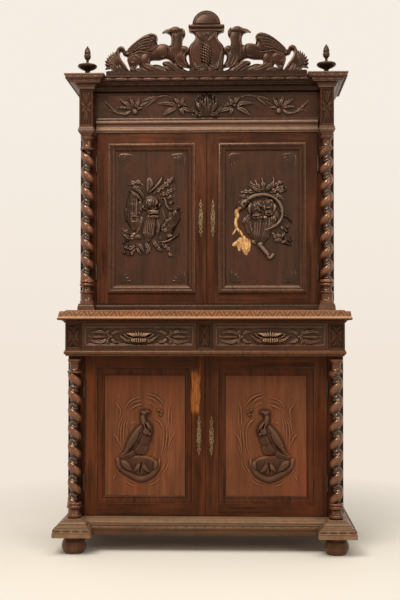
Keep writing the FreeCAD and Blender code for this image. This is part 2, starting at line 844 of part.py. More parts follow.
def bird_in_wreath(x, z, face_y):
    """A game bird standing on a mound, inside an oval wreath of reeds. Its tail points outwards."""
    halves = (-math.copysign(bird_half_width, x), bird_half_height)
    bird = fused(relief((x, z), halves, bird_half_width, face_y, bird_lump_shares, []))
    discs = []
    for inset in (0, wreath_band):
        edge = Part.Ellipse(Vector(0, 0, 0), wreath_half_height - inset, wreath_half_width - inset)
        discs.append(Part.Face(Part.Wire([edge.toShape()])))
    band = discs[0].cut(discs[1])
    wreath = band.extrude(Vector(0, 0, leaf_depth_low))
    wreath.rotate(Vector(0, 0, 0), Vector(0, 0, 1), 90)
    wreath.rotate(Vector(0, 0, 0), Vector(1, 0, 0), 90)
    wreath.translate(Vector(x, face_y, z))
    return [bird, wreath]


def hare_trophy(x, z, face_y):
    """A hare's head among oak leaves, with a game bag and a bird hung beside it."""
    halves = (trophy_half_width, trophy_half_height)
    return [fused(relief((x, z), halves, trophy_half_width, face_y, hare_lump_shares, hare_leaf_shares))]


def horn_trophy(x, z, face_y):
    """A coiled hunting horn with two hounds' heads and leaves."""
    halves = (trophy_half_width, trophy_half_height)
    ring_x = x + horn_ring_centre_shares[0] * trophy_half_width
    ring_z = z + horn_ring_centre_shares[1] * trophy_half_height
    ring = ring_on_panel(ring_x, ring_z, trophy_half_width * horn_ring_share, horn_tube_radius, face_y)
    lumps = relief((x, z), halves, trophy_half_width, face_y, horn_lump_shares, horn_leaf_shares)
    return [fused([ring] + lumps)]


def make_upper_case():
    """The boards of the upper case, with its base moulding, face frame and shelves."""
    half = upper_width / 2
    inside = half - case_board
    stile = upper_opening_width / 2
    face_back = upper_face_y + case_board
    back_front = back_y - back_board
    save("top_board", [box(-inside, inside, face_back, back_front, cornice_foot - case_board, cornice_foot)])
    shelves = []
    for share in upper_shelf_shares:
        shelf_z = upper_base_top + upper_opening_height * share
        shelves += shelf_on_battens(shelf_z, inside, face_back, back_front)
    block_half = frieze_block_width / 2 + upper_base_block_reach
    block = box(upper_block_x - block_half, half + upper_base_side_reach,
                upper_block_y - upper_base_block_reach, upper_face_y, waist_top, upper_base_top)
    inner = upper_block_x - block_half
    run_y = upper_face_y - upper_base_front_reach
    low_y = run_y + upper_base_chamfer
    low_z = waist_top + upper_base_height / 2
    run = bar_along_x([
        (upper_face_y, waist_top), (run_y, waist_top), (run_y, low_z), (low_y, upper_base_top),
        (upper_face_y, upper_base_top),
    ], -inner, inner)
    side = box(half, half + upper_base_side_reach, upper_face_y, back_y, waist_top, upper_base_top)
    save("upper_base_moulding", both_sides(block) + [run] + both_sides(side))
    return {
        "bottom_boards": [box(-inside, inside, face_back, back_front, waist_top, upper_base_top)],
        "case_sides": both_sides(box(inside, half, face_back, back_y, waist_top, cornice_foot)),
        "back_boards": [box(-inside, inside, back_front, back_y, waist_top, cornice_foot)],
        "face_frames": both_sides(
            box(stile, half, upper_face_y, face_back, waist_top, cornice_foot)
        ) + [box(-stile, stile, upper_face_y, face_back, waist_top, upper_base_top)],
        "shelves": shelves,
    }


# Right half of the frieze's scroll: a middle leaf, a star of leaves, a waving stem and a rosette
frieze_lump_shares = [
    ((0, -1), (0, 1), 0.9, 0.6), ((0.26, 0), (0.48, 0.5), 0.36, 0.5),
    ((0.45, 0.5), (0.7, 0), 0.36, 0.5), ((0.66, 0.05), (0.86, -0.6), 0.36, 0.5),
    ((0.82, -0.6), (1, 0.3), 0.36, 0.5), ((0.69, -0.37), (0.69, 0.37), 0.7, 0.5),
]
frieze_leaf_shares = [
    ((0, -0.5), (0.12, 0.9), 1), ((0, 0), (0.13, -0.6), 1), ((0.08, 0), (0.28, 0), 0.6),
    ((0.27, 0), (0.4, 0.1), 0.8), ((0.27, 0), (0.35, 0.75), 0.8), ((0.27, 0), (0.2, 0.7), 0.8),
    ((0.27, 0), (0.2, -0.7), 0.8), ((0.27, 0), (0.35, -0.75), 0.8),
]


def make_frieze():
    """The architrave, the frieze board with its scrolling leaves, and the carved corner blocks."""
    stile = upper_opening_width / 2
    face_back = upper_face_y + case_board
    reach_y = upper_face_y - architrave_reach
    frieze_y = upper_face_y - frieze_reach + architrave_fillet
    fillet_z = architrave_foot + architrave_height - architrave_fillet
    x = upper_block_x
    block_half = frieze_block_width / 2
    wide = block_half + frieze_capital_reach
    capital_top = architrave_foot + capital_height
    capital_foot = capital_top - frieze_capital_height
    moulding = bar_along_x([
        (upper_face_y, architrave_foot), (reach_y + architrave_fillet, architrave_foot),
        (reach_y, architrave_foot + architrave_fillet), (reach_y, fillet_z),
        (reach_y + architrave_fillet, frieze_foot), (upper_face_y, frieze_foot),
    ], wide - x, x - wide)
    board = box(-stile, stile, upper_face_y, face_back, architrave_foot, frieze_foot)
    save("architrave", [fused([moulding, board])])
    save("frieze_board", [
        box(-stile, stile, upper_face_y, face_back, frieze_foot, cornice_foot),
        box(block_half - x, x - block_half, frieze_y, upper_face_y, frieze_foot, cornice_foot),
    ])
    capital_y = upper_block_y - frieze_capital_reach
    block = box(x - block_half, x + block_half, upper_block_y, upper_face_y, capital_top, cornice_foot)
    capital = tapered_slab([
        (capital_foot, x - block_half, x + block_half, upper_block_y, upper_face_y),
        (capital_foot + capital_height, x - wide, x + wide, capital_y, upper_face_y),
        (capital_top, x - wide, x + wide, capital_y, upper_face_y),
    ])
    save("frieze_blocks", both_sides(block))
    halves = (frieze_carving_half_width, frieze_carving_half_height)
    centre = (0, (frieze_foot + cornice_foot) / 2)
    one_side = fused(relief(centre, halves, relief_depth, frieze_y, frieze_lump_shares, frieze_leaf_shares))
    save("frieze_carving", [fused([one_side, mirrored(one_side)])])
    return both_sides(capital)


def make_cornice():
    """The break-front cornice: a run in the middle, blocks over the columns and runs down the sides."""
    half = upper_width / 2
    block_half = frieze_block_width / 2
    z_fillet = cornice_foot + cornice_height * cornice_fillet_share
    z_top = cornice_foot + cornice_height * cornice_top_share
    foot = cornice_foot_reach
    cove = cornice_reach * cornice_cove_share
    levels = [(cornice_foot, foot), (z_fillet, cove), (z_top, cornice_reach), (cornice_top, cornice_reach)]
    x = upper_block_x
    side_outer = half + cornice_side_reach
    blocks = []
    for z, reach in levels:
        share = (reach - foot) / (cornice_reach - foot)
        outer = x + block_half + foot + share * (side_outer - x - block_half - foot)
        blocks.append((z, x - block_half - reach, outer, upper_block_y - reach, upper_face_y))
    block = tapered_slab(blocks)
    middle_y = upper_block_y + cornice_reach - cornice_foot_reach
    middle = [(upper_face_y, cornice_foot)]
    for z, reach in levels:
        middle.append((middle_y - reach, z))
    middle.append((upper_face_y, cornice_top))
    span = x - block_half - foot
    run = bar_along_x(middle, -span, span).cut(block).cut(mirrored(block))
    side = [(half, cornice_foot)]
    for z, reach in levels:
        side.append((half + reach / cornice_reach * cornice_side_reach, z))
    side.append((half, cornice_top))
    side_run = bar_along_y(side, upper_face_y, back_y)
    top = box(-half, half, upper_face_y, back_y, cornice_foot, cornice_top)
    save("cornice", both_sides(block) + [run, top] + both_sides(side_run))


# Turning of a finial from below: height share, radius share of the bowl, swell share of the height
finial_shares = [
    (0.06, 0.75, 0), (0.15, 0.56, 0), (0.11, 0.22, -0.02), (0.14, 1, 0.03), (0.05, 0.6, 0.02),
    (0.05, 0.13, 0), (0.1, 0.13, 0), (0, 0.27, 0), (0.06, 0.33, 0), (0.28, 0, 0.035),
]


def make_finials():
    """Two turned finials: an acorn on a bowl."""
    steps = []
    tall = finial_height
    for height_share, radius_share, swell_share in finial_shares:
        steps.append((tall * height_share, finial_bowl_radius * radius_share, tall * swell_share))
    finial = turned(upper_block_x, upper_column_y, cornice_top, finial_foot_radius, steps)
    save("finials", both_sides(finial))


# Right edge of the vase-shaped plaque: shares of its belly's half width and of its height to the abacus
plaque_shares = [(0.78, 0), (0.79, 0.18), (1, 0.56), (0.66, 0.84), (0.85, 1)]


def make_crest():
    """The pierced crest: a rail, a domed plaque in the middle and a griffin each side."""
    y = upper_column_y
    rail = box(-crest_rail_half_width, crest_rail_half_width, y - crest_rail_thickness / 2,
               y + crest_rail_thickness / 2, cornice_top, cornice_top + crest_rail_height)
    save("crest_rail", [rail])
    base = cornice_top + crest_rail_height
    plaque_y = y - plaque_thickness / 2
    dome_foot = cornice_top + crest_height - dome_rise
    abacus_foot = dome_foot - abacus_height
    right = []
    for across_share, up_share in plaque_shares:
        right.append((across_share * plaque_belly_half_width, base + up_share * (abacus_foot - base)))
    right += [(abacus_half_width, abacus_foot), (abacus_half_width, dome_foot)]
    body = bar_along_y(right + [(-x, z) for x, z in reversed(right)], plaque_y, plaque_y + plaque_thickness)
    arc = Part.Arc(Vector(-dome_radius, plaque_y, dome_foot), Vector(0, plaque_y, dome_foot + dome_rise),
                   Vector(dome_radius, plaque_y, dome_foot)).toShape()
    chord = Part.makeLine(Vector(dome_radius, plaque_y, dome_foot), Vector(-dome_radius, plaque_y, dome_foot))
    dome = Part.Face(Part.Wire([arc, chord])).extrude(Vector(0, plaque_thickness, 0))
    cone_foot = abacus_foot - cone_height - cone_radius / 2
    cone = spindle((0, cone_foot), (0, cone_foot + cone_height), cone_radius, cone_fullest_share, plaque_y)
    save("crest_plaque", [fused([body, dome, cone])])
    griffin = griffin_plate(crest_half_width, y - crest_thickness / 2, base)
    save("crest_griffins", both_sides(griffin))


# The griffin's outline as shares of the crest's half width and height, from the rail up
griffin_body_shares = [
    (0.36, 0.70), (0.33, 0.74), (0.29, 0.755), (0.25, 0.73), (0.215, 0.68), (0.215, 0.62), (0.235, 0.55),
    (0.235, 0.49), (0.2, 0.465), (0.16, 0.42), (0.165, 0.35), (0.19, 0.26), (0.155, 0.17), (0.16, 0.09),
    (0.2, 0.04), (0.32, 0.03), (0.5, 0.03), (0.7, 0.03), (0.75, 0.15), (0.775, 0.25), (0.76, 0.33),
    (0.62, 0.36), (0.5, 0.42), (0.45, 0.5), (0.38, 0.48), (0.345, 0.5), (0.345, 0.6), (0.365, 0.65),
]
griffin_wing_shares = [
    (0.79, 0.30), (0.8, 0.36), (0.72, 0.48), (0.62, 0.58), (0.53, 0.632), (0.485, 0.6), (0.49, 0.5),
    (0.45, 0.4), (0.55, 0.31), (0.68, 0.33),
]
griffin_tail_shares = [
    (0.93, 0.03), (0.9, 0.12), (0.95, 0.17), (0.94, 0.26), (0.9, 0.32), (0.885, 0.4), (0.84, 0.47),
    (0.785, 0.43), (0.775, 0.34), (0.82, 0.36), (0.845, 0.34), (0.83, 0.26), (0.76, 0.13), (0.72, 0.03),
]
griffin_belly_hole_shares = [
    (0.55, 0.19), (0.54, 0.245), (0.46, 0.25), (0.38, 0.27), (0.34, 0.235), (0.4, 0.225), (0.43, 0.18),
    (0.47, 0.185),
]
griffin_paw_hole_shares = [
    (0.24, 0.17), (0.215, 0.14), (0.19, 0.15), (0.185, 0.12), (0.215, 0.108), (0.235, 0.125),
]
griffin_tuft_root_share = (0.88, 0.2)
griffin_tuft_shares = [
    (0.91, 0.38), (0.95, 0.35), (0.985, 0.31), (0.998, 0.25), (0.995, 0.19), (0.995, 0.125),
]
griffin_beak_shares = [(0.436, 0.672), (0.35, 0.72), (0.34, 0.66), (0.37, 0.65)]
griffin_ear_shares = [(0.24, 0.75), (0.27, 0.72), (0.22, 0.66), (0.205, 0.69)]


def griffin_plate(half, y, base):
    """One griffin on the right of the plaque, looking outwards, as a pierced plate."""

    def placed(shares):
        return [(across * half, cornice_top + up * crest_height) for across, up in shares]

    plates = [
        smooth_plate(placed(griffin_body_shares), y, crest_thickness),
        smooth_plate(placed(griffin_wing_shares), y, crest_thickness),
        smooth_plate(placed(griffin_tail_shares), y, crest_thickness),
    ]
    for shares in (griffin_beak_shares, griffin_ear_shares):
        plates.append(bar_along_y(placed(shares), y, y + crest_thickness))
    root = placed([griffin_tuft_root_share])[0]
    for tip in placed(griffin_tuft_shares):
        plates.append(leaf(root, tip, crest_thickness, crest_thickness, y + crest_thickness))
    plate = fused(plates)
    deep = crest_thickness + 2 * overrun
    plate = plate.cut(smooth_plate(placed(griffin_belly_hole_shares), y - overrun, deep))
    plate = plate.cut(bar_along_y(placed(griffin_paw_hole_shares), y - overrun, y - overrun + deep))
    room = box(plaque_belly_half_width, half + overrun, y - overrun, y - overrun + deep,
               base, base + crest_height)
    return plate.common(room)


def main():
    """Write every node of the buffet."""
    os.makedirs("parts", exist_ok=True)
    make_feet()
    make_base()
    lower_boards = make_lower_case()
    upper_boards = make_upper_case()
    for name, shapes in lower_boards.items():
        save(name, shapes + upper_boards[name])
    lower_capitals = make_rail_and_drawer_frame()
    upper_capitals = make_frieze()
    save("column_capitals", lower_capitals + upper_capitals)
    make_waist()
    make_drawer(-1, "left_drawer")
    make_drawer(1, "right_drawer")
    make_columns()
    case_halves = []
    case_halves += make_door("lower", -1, bird_in_wreath)
    case_halves += make_door("lower", 1, bird_in_wreath)
    case_halves += make_door("upper", -1, hare_trophy)
    case_halves += make_door("upper", 1, horn_trophy)
    save("case_hinge_halves", case_halves)
    make_cornice()
    make_finials()
    make_crest()


main()
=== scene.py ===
import math

import bpy
import numpy as np
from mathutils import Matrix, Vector


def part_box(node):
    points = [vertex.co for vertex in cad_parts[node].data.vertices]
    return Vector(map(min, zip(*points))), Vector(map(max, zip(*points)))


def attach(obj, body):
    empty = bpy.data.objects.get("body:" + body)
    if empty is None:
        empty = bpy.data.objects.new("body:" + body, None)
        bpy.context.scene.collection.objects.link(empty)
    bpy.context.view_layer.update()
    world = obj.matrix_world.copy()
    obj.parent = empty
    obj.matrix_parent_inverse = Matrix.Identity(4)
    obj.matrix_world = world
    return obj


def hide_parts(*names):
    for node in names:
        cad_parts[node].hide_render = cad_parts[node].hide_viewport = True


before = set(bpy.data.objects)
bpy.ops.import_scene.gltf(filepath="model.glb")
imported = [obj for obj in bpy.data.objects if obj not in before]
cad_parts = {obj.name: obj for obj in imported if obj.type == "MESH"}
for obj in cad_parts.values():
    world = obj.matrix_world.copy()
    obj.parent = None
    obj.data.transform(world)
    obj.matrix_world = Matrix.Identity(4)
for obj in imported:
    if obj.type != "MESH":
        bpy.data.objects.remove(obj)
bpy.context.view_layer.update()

# Hunting buffet in two bodies: dark stained oak, twisted columns, carved doors, pierced crest.
# The record's frame is kept: metres, X to the viewer's right, Y away from the viewer, Z up.

MM = 0.001
QUARTER_TURN = math.pi / 2

# Places that several pieces share, in millimetres from the middle of the width and depth and from the floor.
BACK = 290
LOWER_CASE_EDGE = 610.5
LOWER_COLUMN_X, LOWER_COLUMN_Y = 575, -199
UPPER_COLUMN_X, UPPER_COLUMN_Y = 551, -18
LOWER_FACE = -239
# A door's opening: its near and far edge from the middle of the buffet, its low and high edge.
DOOR_OPENINGS = {"lower": (55, 484, 207, 810), "upper": (55, 459, 1148, 1843)}
DOOR_MOULDING_WIDTH = 36


# Finishes


def shader_tree(name):
    """A new material with its node tree emptied down to the shader and the output."""
    material = bpy.data.materials.new(name)
    material.use_nodes = True
    tree = material.node_tree
    tree.nodes.clear()
    output = tree.nodes.new("ShaderNodeOutputMaterial")
    shader = tree.nodes.new("ShaderNodeBsdfPrincipled")
    tree.links.new(shader.outputs["BSDF"], output.inputs["Surface"])
    return material, tree, shader


def new_node(tree, kind, **inputs):
    """A node whose named inputs are set to values or joined to other nodes, with _ for a space in a name."""
    node = tree.nodes.new(kind)
    for label, value in inputs.items():
        socket = node.inputs[label.replace("_", " ")]
        if isinstance(value, bpy.types.NodeSocket):
            tree.links.new(value, socket)
        else:
            socket.default_value = value
    return node


def object_axes(tree):
    """Object coordinates, apart as X, Y and Z."""
    place = new_node(tree, "ShaderNodeTexCoord")
    return new_node(tree, "ShaderNodeSeparateXYZ", Vector=place.outputs["Object"]).outputs


def placed_noise(tree, scale, size, detail=4.0, roughness=0.55, distortion=0.0, offset=(0, 0, 0)):
    """Noise on Object coordinates, stretched by scale along each axis."""
    place = new_node(tree, "ShaderNodeTexCoord")
    mapping = new_node(tree, "ShaderNodeMapping", Vector=place.outputs["Object"], Scale=scale, Location=offset)
    noise = new_node(tree, "ShaderNodeTexNoise", Vector=mapping.outputs["Vector"], Scale=size, Detail=detail,
                     Roughness=roughness, Distortion=distortion)
    return noise.outputs["Fac"]


def spread(tree, value, low, high, to_low=0.0, to_high=1.0):
    """The part of a value between low and high, as to_low to to_high."""
    node = new_node(tree, "ShaderNodeMapRange", Value=value, From_Min=low, From_Max=high, To_Min=to_low,
                    To_Max=to_high)
    return node.outputs["Result"]


def blended(tree, share, first, second, mode="MIX"):
    """Two colours, each a socket or three numbers, mixed by a share."""
    node = tree.nodes.new("ShaderNodeMix")
    node.data_type = "RGBA"
    node.blend_type = mode
    for socket, value in ((node.inputs[6], first), (node.inputs[7], second)):
        if isinstance(value, tuple):
            socket.default_value = (*value, 1.0)
        else:
            tree.links.new(value, socket)
    if isinstance(share, float):
        node.inputs[0].default_value = share
    else:
        tree.links.new(share, node.inputs[0])
    return node.outputs[2]


def worked(tree, kind, first, second=0.0):
    """One step of arithmetic on sockets or numbers."""
    node = tree.nodes.new("ShaderNodeMath")
    node.operation = kind
    for socket, value in ((node.inputs[0], first), (node.inputs[1], second)):
        if isinstance(value, (int, float)):
            socket.default_value = value
        else:
            tree.links.new(value, socket)
    return node.outputs[0]


def mark(tree, name):
    """A mark that the carver's code left on the mesh, as a number."""
    node = tree.nodes.new("ShaderNodeAttribute")
    node.attribute_name = name
    return node.outputs["Fac"]


def raised(tree, shader, height, strength, distance):
    """Bump from a height."""
    bump = new_node(tree, "ShaderNodeBump", Strength=strength, Distance=distance, Height=height)
    tree.links.new(bump.outputs["Normal"], shader.inputs["Normal"])


def grain_scale(along, fine, coarse):
    """How coordinates are stretched for grain that runs along one axis."""
    return tuple(coarse if axis == along else fine for axis in "xyz")


def swapped(tree, share, first, second):
    """One number taking over from another as the share goes to one."""
    kept = worked(tree, "MULTIPLY", first, worked(tree, "SUBTRACT", 1.0, share))
    return worked(tree, "ADD", kept, worked(tree, "MULTIPLY", second, share))


def on_rails(tree, near, far, low, high):
    """One on a door's rails, above and below its opening and between its stiles, in metres."""
    axes = object_axes(tree)
    across = worked(tree, "ABSOLUTE", axes["X"])
    between = worked(tree, "MULTIPLY", worked(tree, "GREATER_THAN", across, near),
                     worked(tree, "LESS_THAN", across, far))
    beyond = worked(tree, "MAXIMUM", worked(tree, "LESS_THAN", axes["Z"], low),
                    worked(tree, "GREATER_THAN", axes["Z"], high))
    return worked(tree, "MULTIPLY", between, beyond)


def oak(name, dark, light, rubbed_and_highlight_colour, along="z", dirt_and_shade_colour=(0.006, 0.003, 0.002), rough=(0.3, 0.44), dust_and_top_light=0.0,
        dust_and_top_light_colour=(0.3, 0.22, 0.15), gloss=0.17, patch=None, offset=(0, 0, 0), rub_and_shading=0.6, rails=None,
        deep=0.9, edge=(0.12, 0.8), blush=0.3):
    """Stained oak: long grain, pores, cloudy stain; hollows darkened by dirt and painted shade, ridges paled by rubbing
    and painted highlights, and up-facing faces paled by dust and painted top light.
    """
    material, tree, shader = shader_tree(name)
    long_grain = placed_noise(tree, grain_scale(along, 1.0, 0.07), 46.0, 5.0, 0.6, 0.5, offset)
    streaks = placed_noise(tree, grain_scale(along, 1.0, 0.03), 150.0, 3.0, 0.6, 0.2, offset)
    pores = placed_noise(tree, grain_scale(along, 1.0, 0.045), 330.0, 3.0, 0.6, 0.0, offset)
    if rails:
        share = on_rails(tree, *rails)
        long_grain = swapped(tree, share, long_grain, placed_noise(tree, grain_scale("x", 1.0, 0.07), 46.0, 5.0))
        streaks = swapped(tree, share, streaks, placed_noise(tree, grain_scale("x", 1.0, 0.03), 150.0, 3.0))
    clouds = placed_noise(tree, grain_scale(along, 1.0, 0.35), 4.2, 4.0, 0.6, 0.3, offset)
    colour = blended(tree, spread(tree, long_grain, 0.34, 0.66), dark, light)
    colour = blended(tree, spread(tree, streaks, 0.5, 0.66, 0.0, 0.5), colour, dark)
    colour = blended(tree, spread(tree, clouds, 0.36, 0.66, 0.0, 0.75), colour, dark)
    red_clouds = placed_noise(tree, grain_scale(along, 1.0, 0.5), 7.0, 3.0, 0.6, 0.5, tuple(-part for part in offset))
    redder = (1.35 * light[0], 0.8 * light[1], 0.75 * light[2])
    colour = blended(tree, spread(tree, red_clouds, 0.48, 0.68, 0.0, blush), colour, redder)
    pore_share = spread(tree, pores, 0.6, 0.72, 0.0, 0.55)
    colour = blended(tree, pore_share, colour, tuple(0.45 * part for part in dark))
    scuffs = placed_noise(tree, (1.0, 1.0, 1.0), 38.0, 5.0, 0.7, 0.2, offset)
    wear_and_shading = mark(tree, "wear_and_shading")
    # Ridges paled towards the rubbed colour: partly real rubbing, partly painted highlight.
    rub_and_highlight_share = spread(tree, wear_and_shading, *edge, 0.0, rub_and_shading)
    rub_and_highlight_share = worked(tree, "MULTIPLY", rub_and_highlight_share, spread(tree, scuffs, 0.25, 0.6, 0.35, 1.0))
    colour = blended(tree, rub_and_highlight_share, colour, rubbed_and_highlight_colour)
    # Hollows darkened: partly dirt, partly painted shade.
    hollow = spread(tree, wear_and_shading, -0.04, -0.55, 0.0, deep)
    colour = blended(tree, hollow, colour, dirt_and_shade_colour)
    if patch:
        colour = patch(tree, colour)
    # Up-facing faces paled: partly dust, partly painted top light that gives the mouldings' upper edges their
    # highlights.
    if dust_and_top_light:
        facing = tree.nodes.new("ShaderNodeNewGeometry")
        split = tree.nodes.new("ShaderNodeSeparateXYZ")
        tree.links.new(facing.outputs["Normal"], split.inputs[0])
        up = spread(tree, split.outputs["Z"], 0.1, 0.9, 0.0, dust_and_top_light)
        colour = blended(tree, worked(tree, "MULTIPLY", up, spread(tree, scuffs, 0.3, 0.6, 0.4, 1.0)), colour,
                         dust_and_top_light_colour)
    tree.links.new(colour, shader.inputs["Base Color"])
    tree.links.new(spread(tree, scuffs, 0.3, 0.7, rough[0], rough[1]), shader.inputs["Roughness"])
    shader.inputs["Specular IOR Level"].default_value = gloss
    shader.inputs["Specular Tint"].default_value = (1.0, 0.66, 0.46, 1)
    height = worked(tree, "ADD", worked(tree, "MULTIPLY", long_grain, 0.6),
                    worked(tree, "MULTIPLY", pores, -0.5))
    raised(tree, shader, height, 0.28, 0.0006)
    return material


def ragged_patch(tree, x0, x1, z0, z1):
    """One inside an upright patch with torn ends, in metres."""
    axes = object_axes(tree)
    tears = placed_noise(tree, (1.0, 1.0, 0.08), 130.0, 4.0, 0.65)
    shares = []
    for value, low, high, tear in ((axes["X"], x0, x1, 1.6), (axes["Z"], z0, z1, 1.5)):
        off = worked(tree, "SUBTRACT", value, (low + high) / 2)
        off = worked(tree, "ABSOLUTE", worked(tree, "DIVIDE", off, (high - low) / 2))
        torn = worked(tree, "MULTIPLY", worked(tree, "SUBTRACT", tears, 0.45), tear)
        shares.append(spread(tree, worked(tree, "ADD", off, torn), 1.0, 0.8))
    return worked(tree, "MULTIPLY", *shares)


def sun_bleached(tree, colour):
    """The orange patch that the sun left on the left door's meeting stile, and a redder streak on its outer one."""
    streaks = placed_noise(tree, (1.0, 1.0, 0.12), 170.0, 4.0, 0.6)
    orange = blended(tree, spread(tree, streaks, 0.35, 0.65), (0.085, 0.024, 0.007), (0.36, 0.115, 0.026))
    colour = blended(tree, ragged_patch(tree, -0.067, -0.021, 0.585, 0.815), colour, orange)
    outer = worked(tree, "MULTIPLY", ragged_patch(tree, -0.53, -0.492, 0.33, 0.85), 0.45)
    return blended(tree, outer, colour, (0.17, 0.045, 0.014))


def ledge_shade_and_lip_highlight(tree, colour):
    """The ledge keeps its pale worn slope; below the lip it is painted dark as shade, as dark as the case, and the lip
    gets a painted pale highlight.
    """
    up = object_axes(tree)["Z"]
    # Painted shade: below the lip the ledge is as dark as the case.
    colour = blended(tree, spread(tree, up, 1.0265, 1.0305), (0.05, 0.017, 0.008), colour)
    # Painted highlight: a pale line along the lip.
    lip_highlight = worked(tree, "MULTIPLY", spread(tree, up, 1.0285, 1.0305, 0.0, 0.75), spread(tree, up, 1.0372, 1.0345))
    return blended(tree, lip_highlight, colour, (0.55, 0.32, 0.18))


def bare_break(tree, colour):
    """The darker trophy, and bare pale wood where its carving broke away."""
    stained = worked(tree, "MULTIPLY", spread(tree, mark(tree, "proud"), 0.1, 0.9, 0.0, 0.65),
                     spread(tree, mark(tree, "wear_and_shading"), 0.55, 0.2))
    colour = blended(tree, stained, colour, (0.016, 0.007, 0.0044))
    streaks = placed_noise(tree, (1.0, 1.0, 0.2), 120.0, 4.0, 0.6)
    pale = blended(tree, spread(tree, streaks, 0.35, 0.62), (0.22, 0.085, 0.022), (0.62, 0.36, 0.14))
    return blended(tree, spread(tree, mark(tree, "bare"), 0.25, 0.6), colour, pale)


def pull_wear_and_highlight(tree, colour):
    """The pale colour on the proud leaves of a drawer's pull: wear that hands left, and painted highlights."""
    # Pale on the pull's proud ridges: partly hand wear, partly painted highlight.
    rubbed = worked(tree, "MULTIPLY", spread(tree, mark(tree, "proud"), 0.3, 1.0),
                    spread(tree, mark(tree, "wear_and_shading"), 0.15, 0.8, 0.0, 0.8))
    return blended(tree, rubbed, colour, (0.34, 0.2, 0.11))


def smoked_palmette(tree, colour):
    """The palmette in the middle of the frieze, much darker than the sprays on either side."""
    off = worked(tree, "ABSOLUTE", object_axes(tree)["X"])
    return blended(tree, spread(tree, off, 0.1, 0.06, 0.0, 0.8), colour, (0.007, 0.0036, 0.0026))


def darker_bird_and_shaded_top(tree, colour):
    """The bird and its mound, darker and browner than the field, their hollows darker and ridges paler, partly painted
    shade and highlight; and the field darkening upwards as painted shadow from the drawer row above.
    """
    up = object_axes(tree)["Z"]
    # Painted shadow of the drawer row: the field darker towards its top.
    colour = blended(tree, spread(tree, up, 0.56, 0.78, 0.0, 0.5), colour, (0.06, 0.019, 0.0085))
    # The bird darker and browner; within it hollows darker and ridges paler, partly painted shade and highlight.
    return blended(tree, spread(tree, mark(tree, "proud"), 0.2, 0.8, 0.0, 0.8), colour, blended(
        tree, spread(tree, mark(tree, "wear_and_shading"), -0.15, 0.85), (0.011, 0.0055, 0.0036), (0.085, 0.049, 0.032)))


def metal(name, dark, light, rough, metallic=1.0, size=90.0):
    """Old metal with tarnish in clouds and fine scratches."""
    material, tree, shader = shader_tree(name)
    tarnish = placed_noise(tree, (1.0, 1.0, 1.0), size, 5.0, 0.65, 0.3)
    scratches = placed_noise(tree, (1.0, 1.0, 0.1), 600.0, 2.0)
    colour = blended(tree, spread(tree, tarnish, 0.35, 0.65), dark, light)
    colour = blended(tree, spread(tree, mark(tree, "wear_and_shading"), -0.05, -0.5, 0.0, 0.8), colour,
                     tuple(0.3 * part for part in dark))
    tree.links.new(colour, shader.inputs["Base Color"])
    tree.links.new(spread(tree, tarnish, 0.3, 0.7, rough[0], rough[1]), shader.inputs["Roughness"])
    shader.inputs["Metallic"].default_value = metallic
    raised(tree, shader, scratches, 0.15, 0.0002)
    return material


lower_rails, upper_rails = ([MM * edge for edge in DOOR_OPENINGS[level]] for level in ("lower", "upper"))
case_oak = oak("dark_stained_oak", (0.019, 0.0055, 0.0028), (0.085, 0.027, 0.011), (0.24, 0.11, 0.055))
upper_door_oak = oak("dark_door_oak", (0.021, 0.0065, 0.0034), (0.11, 0.037, 0.0165), (0.26, 0.125, 0.065),
                     rails=upper_rails)
case_oak_across = oak("dark_stained_oak_across", (0.019, 0.006, 0.0032), (0.07, 0.024, 0.011),
                      (0.26, 0.13, 0.07), "x", dust_and_top_light=0.35, dust_and_top_light_colour=(0.16, 0.09, 0.055), gloss=0.2)
# On the carved pieces (trophies, frieze, drawers, crest) the pale ridge colour is partly rubbed wear and largely
# painted highlight; the near-black hollow colour is partly dirt and largely painted shade.
trophy_oak = oak("carved_trophy_oak", (0.0125, 0.005, 0.003), (0.05, 0.019, 0.0105), (0.32, 0.2, 0.135),
                 dirt_and_shade_colour=(0.0035, 0.0018, 0.0012), rough=(0.2, 0.3), gloss=0.5, patch=bare_break,
                 offset=(0.3, 0, 0.7), rub_and_shading=0.5, edge=(0.25, 1.0), blush=0.5)
lower_oak = oak("red_brown_oak", (0.027, 0.0075, 0.003), (0.108, 0.032, 0.0115), (0.26, 0.11, 0.045),
                offset=(0.1, 0, 0.2), rails=lower_rails)
rail_oak = oak("drawer_rail_oak", (0.024, 0.0078, 0.0036), (0.078, 0.027, 0.0115), (0.17, 0.075, 0.036), "x",
               rough=(0.22, 0.34), dust_and_top_light=0.14, dust_and_top_light_colour=(0.22, 0.12, 0.07), gloss=0.35, rub_and_shading=0.5,
               offset=(0.1, 0, 0.2))
lower_left_oak = oak("sunned_red_brown_oak", (0.027, 0.0075, 0.003), (0.108, 0.032, 0.0115),
                     (0.26, 0.11, 0.045), patch=sun_bleached, offset=(0.5, 0, 0.2), rails=lower_rails)
bird_oak = oak("bird_panel_oak", (0.1, 0.033, 0.0145), (0.19, 0.067, 0.029), (0.34, 0.16, 0.075),
               dirt_and_shade_colour=(0.032, 0.011, 0.005), patch=darker_bird_and_shaded_top, offset=(0.8, 0, 0.4), rub_and_shading=0.45, deep=0.7)
carved_oak = oak("carved_oak", (0.0125, 0.0048, 0.003), (0.046, 0.0175, 0.0105), (0.28, 0.18, 0.125), "x",
                 dirt_and_shade_colour=(0.0035, 0.0018, 0.0012), rough=(0.2, 0.32), gloss=0.4, patch=smoked_palmette, rub_and_shading=0.38,
                 edge=(0.25, 0.95), blush=0.6)
